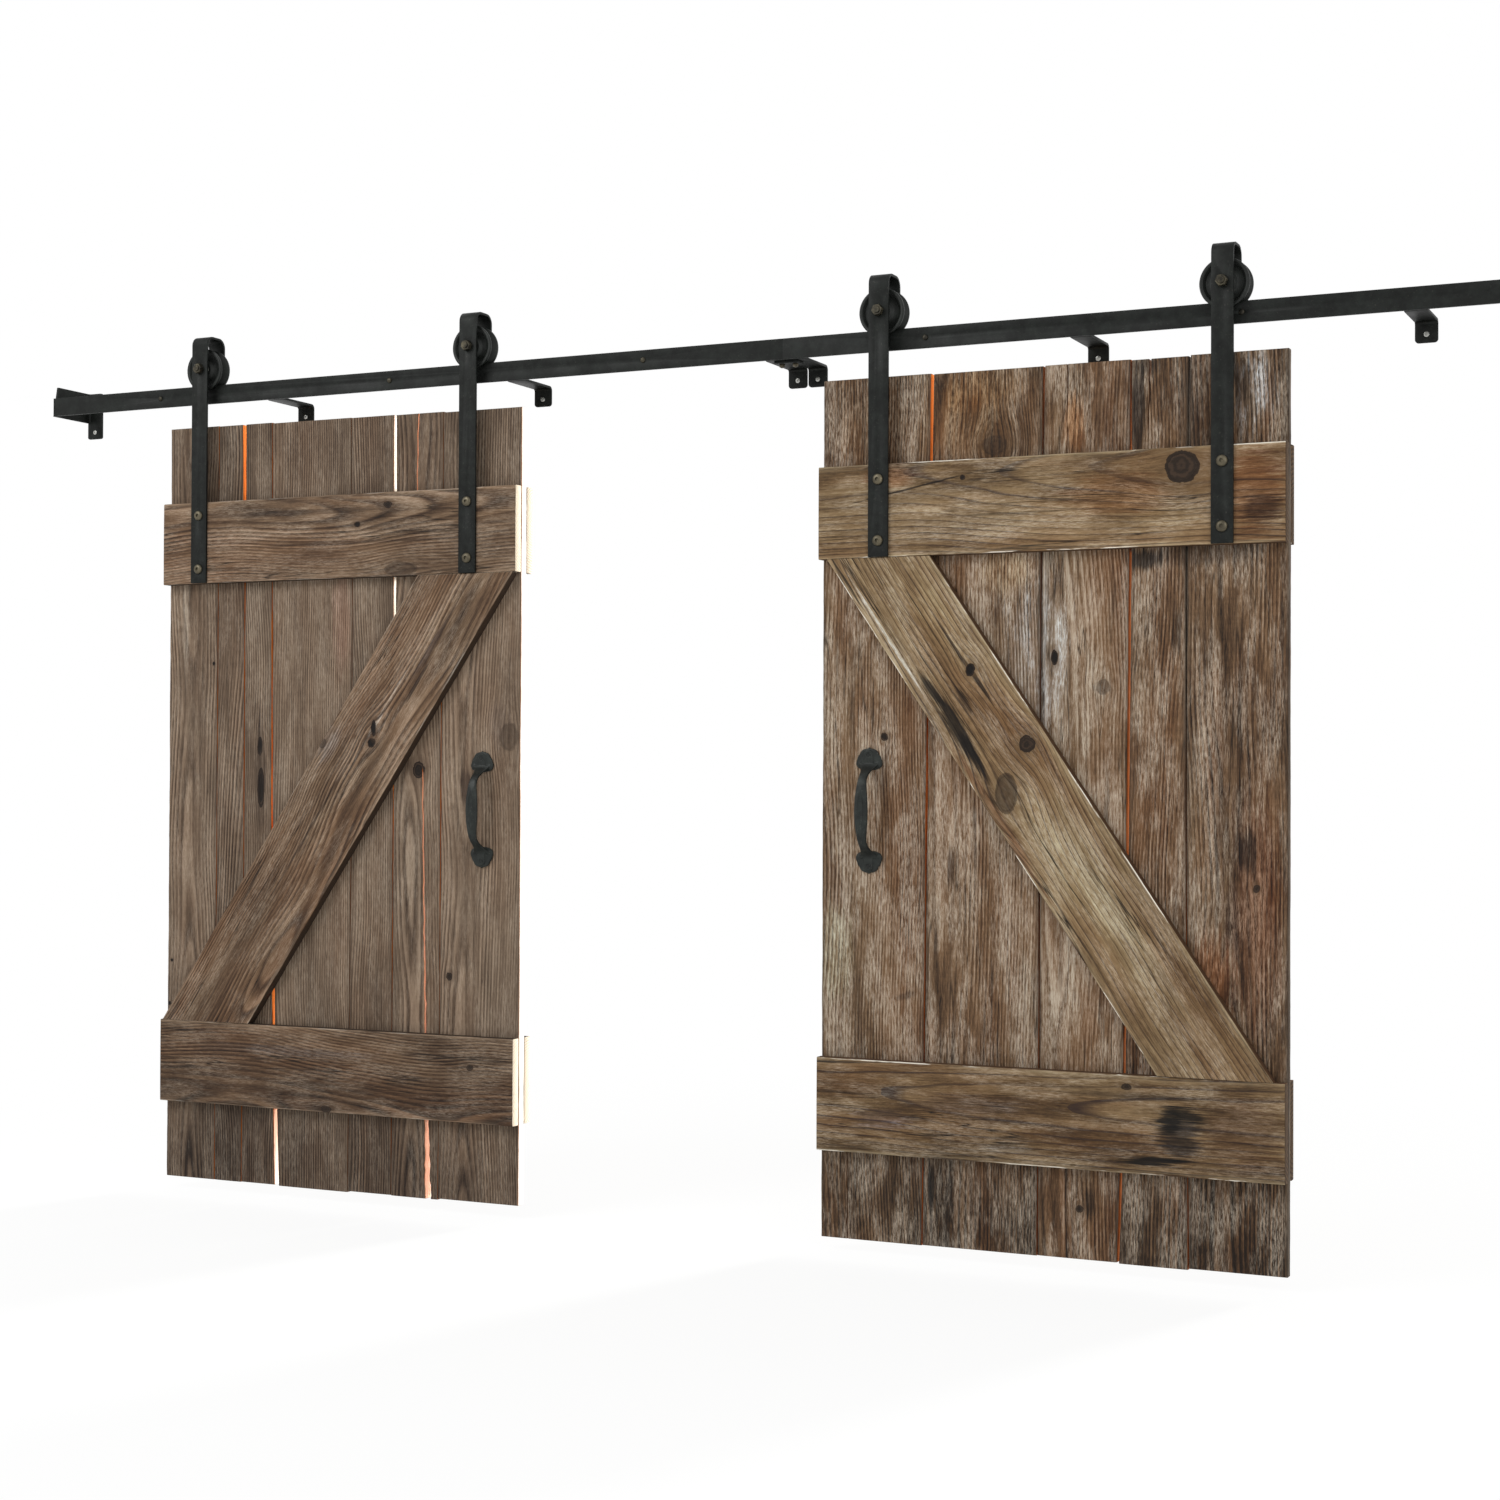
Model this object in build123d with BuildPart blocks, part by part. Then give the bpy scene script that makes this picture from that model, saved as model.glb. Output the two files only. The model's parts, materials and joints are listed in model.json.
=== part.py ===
"""A pair of sliding plank doors hung on wheels from one wall-mounted flat-bar rail.

Millimetres. X runs along the rail to the right, with X = 0 where its two lengths meet.
Y = 0 is the wall and -Y points into the room. Z = 0 is the line of the wall-fixing holes.
Depths named below are distances out from the wall.
"""
import os

from build123d import *

os.makedirs("parts", exist_ok=True)

# Rail: two flat bars butted end to end, edge up
rail_height = 50.0
rail_thickness = 8.0
rail_reach = 2259.0
standoff = 150.0
rail_corner = 0.8
rail_bolt_radius = 4.0
rail_bolt_head_radius = 7.0
rail_bolt_head_height = 4.0
rail_nut_flats = 13.0
rail_nut_height = 6.0
rail_bolt_tail = 2.0

# Wall brackets and rail bolts share one pitch, set a little to the left of the rail joint
rail_end_margin = 9.0
bracket_pitch = (rail_reach - rail_end_margin) / 3
bracket_shift = -6.0
joint_bracket_gap = 4.0

# Flat bar that the brackets, end stops and hangers are bent from
bar_width = 50.0
bar_thickness = 6.0
bend_inside = 6.0
bolt_clearance = 0.3

# Bracket: a lug behind the rail, a leg to the wall and a tab down the wall
lug_height = 36.0
tab_length = 46.0
fixing_drop = 27.0
tab_corner = 8.0
fixing_radius = 3.5
fixing_sink_radius = 6.5

# End stop: an upright plate across the rail's end with a flange and a tab on the wall
stop_height = 84.0
stop_overhang = 2.0
stop_slant = 15.0
stop_tab_corner = 6.0

# Plate under the two bracket legs at the rail joint, and its bolts
joint_plate_length = 64.0
joint_plate_depth = 36.0
joint_bolt_inset = 9.0
joint_bolt_radius = 4.0
joint_head_flats = 13.0
joint_head_height = 5.3
joint_nut_height = 6.5
joint_bolt_tail = 2.0

# Wheels: grooved, turned, running on the rail's top edge
wheel_radius = 57.0
wheel_width = 41.0
wheel_edge = 2.5
groove_radius = 40.5
groove_floor = 11.0
groove_mouth = 25.0
dish_depth = 7.5
dish_rim_radius = 49.0
dish_floor_outer = 43.0
dish_floor_inner = 29.0
hub_radius = 23.0
bearing_radius = 16.0
bearing_clearance = 0.1
ride_gap = 0.3

# Axle bolts and their spacers
axle_radius = 8.0
axle_clearance = 0.05
axle_flats = 24.0
axle_head_height = 10.0
axle_nut_height = 13.0
axle_tail = 3.0
spacer_radius = 13.0
spacer_gap = 0.4
side_gap = 12.5

# Hangers: straps bent over the wheels
hanger_crown = 155.0
hanger_bend_outside = 25.0
hanger_tail_below_axle = 28.0
hanger_tail_corner = 12.0
hanger_end_margin = 1.0

# Bolts through each hanger, door and back batten
strap_bolt_radius = 6.0
strap_bolt_edge = 38.0
strap_bolt_spacing = 145.0
strap_head_radius = 13.0
strap_head_height = 7.0
strap_head_taper = 20.0
strap_socket_flats = 8.0
strap_socket_depth = 4.0
washer_radius = 15.0
washer_thickness = 2.5
strap_nut_flats = 19.0
strap_nut_height = 10.0
strap_nut_clearance = 0.1
strap_bolt_tail = 4.0

# Doors
door_width = 1115.0
door_height = 2047.0
door_drop = 61.0
plank_thickness = 27.0
plank_edge = 1.0
batten_thickness = 30.0
batten_width = 221.0
batten_inset = 210.0
batten_edge = 2.0
trim_step = 1.0
left_door_place = -1844.5
right_door_place = 108.5

# Handles: cast pulls screwed to the planks
handle_length = 302.0
handle_plate = 5.0
handle_plate_width = 67.0
handle_plate_length = 78.0
handle_rise = 48.0
handle_grip_width = 27.0
handle_grip_depth = 13.0
handle_grip_chamfer = 3.2
handle_root_inset = 54.0
handle_boss_width = 24.0
handle_boss_length = 34.0
handle_boss_height = 3.0
handle_hole_inset = 19.0
handle_bump_radius = 3.5
handle_bump_side = 24.0
handle_bump_inset = 43.0
handle_recess_length = 70.0
handle_recess_width = 13.0
handle_recess_depth = 2.5
handle_screw_radius = 2.5
handle_screw_clearance = 0.2
handle_screw_head_radius = 5.0
handle_screw_length = 26.0

# Places that follow from the sizes above
rail_bottom = fixing_drop
rail_axis = rail_bottom + rail_height / 2
rail_top = rail_bottom + rail_height
rail_middle = standoff + rail_thickness / 2
rail_front = standoff + rail_thickness
axle_height = rail_top + groove_radius + ride_gap
half_span = wheel_width / 2 + side_gap
strap_back = rail_middle + half_span
strap_front = strap_back + bar_thickness
tail_back = rail_middle - half_span - bar_thickness
plank_front = strap_back - batten_thickness
plank_back = plank_front - plank_thickness
batten_back = plank_back - batten_thickness
door_top = rail_bottom - door_drop
door_bottom = door_top - door_height
door_middle = (door_top + door_bottom) / 2
high_batten_top = door_top - batten_inset
high_batten_bottom = high_batten_top - batten_width
low_batten_bottom = door_bottom + batten_inset
low_batten_top = low_batten_bottom + batten_width
strap_end = high_batten_bottom + hanger_end_margin
strap_bolt_heights = [strap_end + strap_bolt_edge, strap_end + strap_bolt_edge + strap_bolt_spacing]
rail_bolt_places = [bracket_shift + (k + 0.5) * bracket_pitch for k in range(-3, 3)]
joint_legs = [side * (joint_bracket_gap + bar_width) / 2 for side in (-1, 1)]
joint_bolt_places = [(x - x / abs(x) * joint_bolt_inset) for x in joint_legs]
joint_plate_middle = standoff - bar_thickness - bend_inside - joint_plate_depth / 2
handle_root = handle_length / 2 - handle_root_inset
part_wide = door_width / 1000
part_high = door_height / 1000

# Each door. Places and widths across it are in thousandths of its width, from its own left edge, and
# heights are in thousandths of its height. Seams and splits are given at five and three levels from the
# top down, because the boards are not straight. Trims are whole trim steps.
doors = {
    "left": {
        "start": left_door_place,
        "seams": [
            {"at": (145.29, 145.29, 145.29, 144.39, 144.39), "gap": (0.72, 0.72, 0.72, 0.72, 0.72)},
            {"at": (220.63, 225.11, 226.01, 226.01, 224.22), "gap": (9.87, 2.24, 1.08, 0.72, 0.72)},
            {"at": (303.14, 305.83, 308.52, 317.49, 329.15), "gap": (1.08, 1.97, 2.69, 6.28, 11.66)},
            {"at": (530.94, 537.22, 538.12, 535.43, 532.74), "gap": (0.72, 0.72, 0.72, 0.72, 0.72)},
            {"at": (655.61, 656.5, 655.61, 654.71, 654.71), "gap": (6.28, 6.28, 0.9, 0.72, 0.72)},
            {"at": (789.24, 787.44, 786.55, 785.65, 783.86), "gap": (0.72, 0.72, 0.72, 0.72, 0.72)},
        ],
        "top_trim": (1, 2, 2, 4, 5, 6, 8),
        "low_trim": (1, 1, 2, 0, 3, 2, 5),
        "splits": [
            {
                "plank": 6, "from_top": False,
                "at": (757.85, 749.78, 737.22),
                "width": (15.25, 4.04, 1.79), "reach": 532.49,
            },
            {
                "plank": 6, "from_top": True,
                "at": (721.08, 719.28, 718.39),
                "width": (2.24, 1.79, 1.35), "reach": 146.56,
            },
        ],
        "hangers": {"outer": 110.762, "inner": 873.991},
        "brace_foot_left": 5.38,
        "brace_head_left": 736.32,
        "brace_cut": 256.5,
        "handle": (900.897, 493.894),
    },
    "right": {
        "start": right_door_place,
        "seams": [
            {"at": (249.33, 243.95, 238.57, 234.98, 231.39), "gap": (6.28, 2.24, 2.69, 1.35, 1.35)},
            {"at": (495.07, 489.69, 487.89, 487, 484.3), "gap": (2.69, 2.24, 1.79, 1.79, 1.35)},
            {"at": (679.82, 678.92, 674.44, 668.16, 655.61), "gap": (2.69, 4.04, 4.04, 3.59, 3.59)},
            {"at": (800.9, 794.62, 794.62, 798.21, 800.9), "gap": (3.59, 2.69, 0.9, 0.9, 1.08)},
        ],
        "top_trim": (0, 2, 1, 3, 1),
        "low_trim": (0, 1, 2, 0, 3),
        "splits": [
            {
                "plank": 4, "from_top": True,
                "at": (720.18, 718.39, 716.59),
                "width": (5.38, 3.59, 1.79), "reach": 73.28,
            },
            {
                "plank": 3, "from_top": True,
                "at": (545.29, 545.29, 544.39),
                "width": (2.24, 1.79, 1.35), "reach": 127.02,
            },
            {
                "plank": 1, "from_top": False,
                "at": (61.88, 60.99, 60.09),
                "width": (2.69, 2.24, 1.35), "reach": 97.7,
            },
        ],
        "hangers": {"outer": 874.888, "inner": 139.462},
        "brace_foot_left": 742.6,
        "brace_head_left": 18.83,
        "brace_cut": 234.98,
        "handle": (109.865, 497.313),
    },
}


def facing_room(depth, x=0.0, z=0.0):
    """A plane parallel to the wall that looks into the room, with its own X to the right."""
    return Plane(origin=(x, -depth, z), x_dir=(1, 0, 0), z_dir=(0, -1, 0))


def facing_wall(depth, x=0.0, z=0.0):
    """A plane parallel to the wall that looks at the wall."""
    return Plane(origin=(x, -depth, z), x_dir=(-1, 0, 0), z_dir=(0, 1, 0))


def save(builder, label):
    """Name a finished piece and write its file."""
    builder.part.label = label
    export_step(builder.part, f"parts/{label}.step")


# Rail lengths, drilled for the rail bolts
def make_rail(label, start, end):
    with BuildPart() as rail:
        with BuildSketch(Plane.YZ.offset(start)):
            with Locations((-rail_middle, rail_axis)):
                RectangleRounded(rail_thickness, rail_height, rail_corner)
        extrude(amount=end - start)
        with Locations([facing_room(rail_front, x, rail_axis) for x in rail_bolt_places if start < x < end]):
            Hole(rail_bolt_radius + bolt_clearance)
    save(rail, label)


make_rail("rail_left", -rail_reach, 0)
make_rail("rail_right", 0, rail_reach)


# Wall brackets: one flat bar bent twice, from the lug behind the rail to the tab on the wall
def make_bracket(label, x, leg_bolt=None):
    half = bar_thickness / 2
    with BuildPart() as bracket:
        with BuildLine(Plane.YZ.offset(x)) as path:
            FilletPolyline(
                (half - standoff, rail_bottom + lug_height),
                (half - standoff, rail_bottom + half),
                (-half, rail_bottom + half),
                (-half, rail_bottom - tab_length),
                radius=bend_inside + half,
            )
        with BuildSketch(Plane(origin=path.line @ 0, x_dir=(1, 0, 0), z_dir=path.line % 0)):
            Rectangle(bar_width, bar_thickness)
        sweep(path=path.line)
        fillet(bracket.faces().sort_by(Axis.Z)[0].edges().filter_by(Axis.Y), tab_corner)
        with Locations(facing_room(bar_thickness, x)):
            CounterSinkHole(fixing_radius, fixing_sink_radius)
        if leg_bolt is not None:
            with Locations((leg_bolt, -joint_plate_middle, rail_bottom + bar_thickness)):
                Hole(joint_bolt_radius + bolt_clearance)
    save(bracket, label)


make_bracket("wall_bracket_left_outer", bracket_shift - 2 * bracket_pitch)
make_bracket("wall_bracket_left_inner", bracket_shift - bracket_pitch)
make_bracket("wall_bracket_joint_left", joint_legs[0], joint_bolt_places[0])
make_bracket("wall_bracket_joint_right", joint_legs[1], joint_bolt_places[1])
make_bracket("wall_bracket_right_inner", bracket_shift + bracket_pitch)
make_bracket("wall_bracket_right_outer", bracket_shift + 2 * bracket_pitch)

# Joint plate under the two legs
with BuildPart() as joint_plate:
    with BuildSketch(Plane.XY.offset(rail_bottom)):
        with Locations((0, -joint_plate_middle)):
            RectangleRounded(joint_plate_length, joint_plate_depth, 3)
        with Locations([(x, -joint_plate_middle) for x in joint_bolt_places]):
            Circle(joint_bolt_radius + bolt_clearance, mode=Mode.SUBTRACT)
    extrude(amount=-bar_thickness)
save(joint_plate, "joint_plate")

# Joint bolts: hexagon heads on the legs, nuts under the plate
with BuildPart() as joint_bolts:
    leg_top = rail_bottom + bar_thickness
    nut_top = rail_bottom - bar_thickness
    places = [(x, -joint_plate_middle) for x in joint_bolt_places]
    with BuildSketch(Plane.XY.offset(leg_top)):
        with Locations(places):
            RegularPolygon(joint_head_flats / 2, 6, major_radius=False)
    extrude(amount=joint_head_height)
    with BuildSketch(Plane.XY.offset(leg_top)):
        with Locations(places):
            Circle(joint_bolt_radius)
    extrude(amount=nut_top - joint_nut_height - joint_bolt_tail - leg_top)
    with BuildSketch(Plane.XY.offset(nut_top)):
        with Locations(places):
            RegularPolygon(joint_head_flats / 2, 6, major_radius=False)
    extrude(amount=-joint_nut_height)
save(joint_bolts, "joint_bolts")

# Rail bolts: low button heads in front, nuts behind
with BuildPart() as rail_bolts:
    spots = [(x, rail_axis) for x in rail_bolt_places]
    with BuildSketch(facing_room(rail_front)):
        with Locations(spots):
            Circle(rail_bolt_head_radius)
    extrude(amount=rail_bolt_head_height, taper=22)
    with BuildSketch(facing_wall(rail_front)):
        with Locations([(-x, z) for x, z in spots]):
            Circle(rail_bolt_radius)
    extrude(amount=rail_thickness + rail_nut_height + rail_bolt_tail)
    with BuildSketch(facing_wall(standoff)):
        with Locations([(-x, z) for x, z in spots]):
            RegularPolygon(rail_nut_flats / 2, 6, major_radius=False)
    extrude(amount=rail_nut_height)
save(rail_bolts, "rail_bolts")


# End stops: bar bent into an angle, its upright plate cut on a slant, its flange run down as a tab
def make_end_stop(label, side):
    outer = side * (rail_reach + bar_thickness)
    inner = side * rail_reach
    flange_end = outer - side * bar_width
    reach = standoff + stop_overhang
    with BuildPart() as stop:
        with BuildSketch(Plane.XY.offset(rail_bottom)) as angle:
            with BuildLine():
                Polyline(
                    (outer, 0),
                    (outer, -reach),
                    (inner, -reach),
                    (inner, -bar_thickness),
                    (flange_end, -bar_thickness),
                    (flange_end, 0),
                    close=True,
                )
            make_face()
            fillet(angle.vertices().sort_by_distance((outer, 0, rail_bottom))[0], bend_inside + bar_thickness)
            fillet(angle.vertices().sort_by_distance((inner, -bar_thickness, rail_bottom))[0], bend_inside)
        extrude(amount=stop_height)
        with BuildSketch(Plane.YZ.offset(outer)):
            with BuildLine():
                Polyline(
                    (-reach, rail_bottom),
                    (-reach, rail_bottom + stop_height),
                    (stop_slant - reach, rail_bottom + stop_height),
                    close=True,
                )
            make_face()
        extrude(amount=-side * bar_thickness, mode=Mode.SUBTRACT)
        with BuildSketch(facing_room(0)):
            with Locations((outer - side * bar_width / 2, rail_bottom - tab_length / 2)):
                Rectangle(bar_width, tab_length)
        extrude(amount=bar_thickness)
        near = 1.2 * bar_width
        ends = stop.edges().filter_by(Axis.Y).filter_by_position(Axis.X, outer - near, outer + near)
        low = ends.filter_by_position(Axis.Z, rail_bottom - tab_length - 1, rail_bottom - tab_length + 1)
        high = ends.filter_by_position(Axis.X, flange_end - 1, flange_end + 1).sort_by(Axis.Z)[-1:]
        fillet(low + high, stop_tab_corner)
        with Locations(facing_room(bar_thickness, outer - side * bar_width / 2)):
            CounterSinkHole(fixing_radius, fixing_sink_radius)
    save(stop, label)


make_end_stop("end_stop_left", -1)
make_end_stop("end_stop_right", 1)


# Wheels and their bearing sleeves, turned about the axle
def make_wheel(side_name, place, x):
    axle = Axis((x, -rail_middle, axle_height), (0, 1, 0))
    half = wheel_width / 2
    turning = Plane(origin=(x, -rail_middle, axle_height), x_dir=(0, 1, 0), z_dir=(1, 0, 0))
    rim = [
        (half - dish_depth, dish_floor_inner),
        (half - dish_depth, dish_floor_outer),
        (half, dish_rim_radius),
        (half, wheel_radius),
        (groove_mouth / 2, wheel_radius),
        (groove_floor / 2, groove_radius),
    ]
    bore = bearing_radius + bearing_clearance
    with BuildPart() as wheel:
        with BuildSketch(turning) as section:
            with BuildLine():
                Polyline(
                    (half, bore),
                    (half, hub_radius),
                    *rim,
                    *[(-u, r) for u, r in reversed(rim)],
                    (-half, hub_radius),
                    (-half, bore),
                    close=True,
                )
            make_face()
            chamfer(section.vertices().group_by(Axis.Y)[-1], wheel_edge)
        revolve(axis=axle)
    save(wheel, f"{side_name}_wheel_{place}")
    with BuildPart() as bearing:
        with BuildSketch(facing_room(rail_middle - half, x, axle_height)):
            Circle(bearing_radius)
            Circle(axle_radius + axle_clearance, mode=Mode.SUBTRACT)
        extrude(amount=wheel_width)
    save(bearing, f"{side_name}_bearing_{place}")


# Hangers: a strap from the top batten up over the wheel and down to a short tail behind it
def make_hanger(side_name, place, x):
    half = bar_thickness / 2
    front = -(strap_back + half)
    tail = -(tail_back + half)
    crown = rail_axis + hanger_crown - half
    with BuildPart() as hanger:
        with BuildLine(Plane.YZ.offset(x)) as path:
            FilletPolyline(
                (front, strap_end),
                (front, crown),
                (tail, crown),
                (tail, axle_height - hanger_tail_below_axle),
                radius=hanger_bend_outside - half,
            )
        with BuildSketch(Plane(origin=path.line @ 0, x_dir=(1, 0, 0), z_dir=path.line % 0)):
            Rectangle(bar_width, bar_thickness)
        sweep(path=path.line)
        tail_end = hanger.edges().filter_by(Axis.Y).filter_by_position(Axis.Y, tail - 1, tail + 1)
        fillet(tail_end, hanger_tail_corner)
        with Locations(facing_room(strap_front, x, axle_height)):
            Hole(axle_radius + bolt_clearance)
        with Locations([facing_room(strap_front, x, z) for z in strap_bolt_heights]):
            Hole(strap_bolt_radius + bolt_clearance)
    save(hanger, f"{side_name}_hanger_{place}")


# Everything that fastens one door: axle bolts, spacers, strap bolts, their nuts and washers
def make_fasteners(side_name, hanger_places):
    axles = [(x, axle_height) for x in hanger_places]
    straps = [(x, z) for x in hanger_places for z in strap_bolt_heights]
    grip = strap_front - tail_back
    with BuildPart() as axle_bolts:
        with BuildSketch(facing_wall(tail_back)):
            with Locations([(-x, z) for x, z in axles]):
                RegularPolygon(axle_flats / 2, 6, major_radius=False)
        extrude(amount=axle_head_height)
        with BuildSketch(facing_room(tail_back)):
            with Locations(axles):
                Circle(axle_radius)
        extrude(amount=grip + axle_nut_height + axle_tail)
        with BuildSketch(facing_room(strap_front)):
            with Locations(axles):
                RegularPolygon(axle_flats / 2, 6, major_radius=False)
        extrude(amount=axle_nut_height)
    save(axle_bolts, f"{side_name}_axle_bolts")
    with BuildPart() as spacers:
        for depth in (rail_middle + wheel_width / 2 + spacer_gap, tail_back + bar_thickness):
            with BuildSketch(facing_room(depth)):
                with Locations(axles):
                    Circle(spacer_radius)
                    Circle(axle_radius + bolt_clearance, mode=Mode.SUBTRACT)
            extrude(amount=side_gap - spacer_gap)
    save(spacers, f"{side_name}_axle_spacers")
    with BuildPart() as strap_bolts:
        with BuildSketch(facing_room(strap_front)):
            with Locations(straps):
                Circle(strap_head_radius)
        extrude(amount=strap_head_height, taper=strap_head_taper)
        with BuildSketch(facing_room(strap_front + strap_head_height)):
            with Locations(straps):
                RegularPolygon(strap_socket_flats / 2, 6, major_radius=False)
        extrude(amount=-strap_socket_depth, mode=Mode.SUBTRACT)
        with BuildSketch(facing_wall(strap_front)):
            with Locations([(-x, z) for x, z in straps]):
                Circle(strap_bolt_radius)
        extrude(amount=strap_front - batten_back + washer_thickness + strap_nut_height + strap_bolt_tail)
    save(strap_bolts, f"{side_name}_strap_bolts")
    with BuildPart() as nuts:
        with BuildSketch(facing_wall(batten_back)):
            with Locations([(-x, z) for x, z in straps]):
                Circle(washer_radius)
                Circle(strap_bolt_radius + strap_nut_clearance, mode=Mode.SUBTRACT)
        extrude(amount=washer_thickness)
        with BuildSketch(facing_wall(batten_back - washer_thickness)):
            with Locations([(-x, z) for x, z in straps]):
                RegularPolygon(strap_nut_flats / 2, 6, major_radius=False)
                Circle(strap_bolt_radius + strap_nut_clearance, mode=Mode.SUBTRACT)
        extrude(amount=strap_nut_height)
    save(nuts, f"{side_name}_nuts_and_washers")


# Planks: full-height boards between two seams, with their splits
def make_planks(side_name, door, strap_places, screw_places):
    start = door["start"]
    levels = [door_top, high_batten_bottom, door_middle, low_batten_top, door_bottom]
    square = (0, 0, 0, 0, 0)
    lines = [{"at": square, "gap": square}] + door["seams"] + [{"at": [1000] * 5, "gap": square}]
    for number in range(1, len(lines)):
        left, right = lines[number - 1], lines[number]
        top = door_top - door["top_trim"][number - 1] * trim_step
        bottom = door_bottom + door["low_trim"][number - 1] * trim_step
        heights = [top, *levels[1:4], bottom]
        west = [(start + (a + g / 2) * part_wide, z) for a, g, z in zip(left["at"], left["gap"], heights)]
        east = [(start + (a - g / 2) * part_wide, z) for a, g, z in zip(right["at"], right["gap"], heights)]
        with BuildPart() as plank:
            with BuildSketch(facing_room(plank_back)):
                with BuildLine():
                    Polyline(*west, *reversed(east), close=True)
                make_face()
            extrude(amount=plank_thickness)
            chamfer(plank.faces().sort_by(Axis.Y)[0].edges(), plank_edge)
            for split in door["splits"]:
                if split["plank"] == number:
                    mouth = door_top + 1 if split["from_top"] else door_bottom - 1
                    root = mouth + split["reach"] * part_high * (-1 if split["from_top"] else 1)
                    run = [(mouth, 0), (mouth + (root - mouth) * 0.35, 1), (root, 2)]
                    places = [(start + split["at"][i] * part_wide, z) for z, i in run]
                    spread = [width * part_wide / 2 for width in split["width"]]
                    low = [(x - half, z) for (x, z), half in zip(places, spread)]
                    high = [(x + half, z) for (x, z), half in zip(places, spread)]
                    with BuildSketch(facing_room(plank_back)):
                        with BuildLine():
                            Polyline(*low, *reversed(high), close=True)
                        make_face()
                    extrude(amount=plank_thickness, mode=Mode.SUBTRACT)
            bolts = [(x, z) for x, z in strap_places if west[1][0] < x < east[1][0]]
            if bolts:
                with Locations([facing_room(plank_front, x, z) for x, z in bolts]):
                    Hole(strap_bolt_radius + bolt_clearance)
            screws = [(x, z) for x, z in screw_places if west[2][0] < x < east[2][0]]
            pilot = handle_screw_radius + handle_screw_clearance
            if screws:
                with Locations([facing_room(plank_front, x, z) for x, z in screws]):
                    Hole(pilot, depth=handle_screw_length - handle_plate)
        save(plank, f"{side_name}_plank_{number}")


# Battens: boards across the door, in front of and behind the planks
def make_batten(label, start, bottom, depth, outward, strap_places):
    with BuildPart() as batten:
        with BuildSketch(facing_room(depth)):
            with Locations((start + door_width / 2, bottom + batten_width / 2)):
                Rectangle(door_width, batten_width)
        extrude(amount=batten_thickness)
        outside = batten.faces().sort_by(Axis.Y)[0 if outward else -1]
        chamfer(outside.edges(), batten_edge)
        bolts = [(x, z) for x, z in strap_places if bottom < z < bottom + batten_width]
        if bolts:
            with Locations([facing_room(depth + batten_thickness, x, z) for x, z in bolts]):
                Hole(strap_bolt_radius + bolt_clearance)
    save(batten, label)


# Brace: one board on the slant between the battens
def make_brace(side_name, door):
    foot = door["start"] + door["brace_foot_left"] * part_wide
    head = door["start"] + door["brace_head_left"] * part_wide
    cut = door["brace_cut"] * part_wide
    with BuildPart() as brace:
        with BuildSketch(facing_room(plank_front)):
            with BuildLine():
                Polyline(
                    (foot, low_batten_top),
                    (foot + cut, low_batten_top),
                    (head + cut, high_batten_bottom),
                    (head, high_batten_bottom),
                    close=True,
                )
            make_face()
        extrude(amount=batten_thickness)
        chamfer(brace.faces().sort_by(Axis.Y)[0].edges(), batten_edge)
    save(brace, f"{side_name}_brace")


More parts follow.
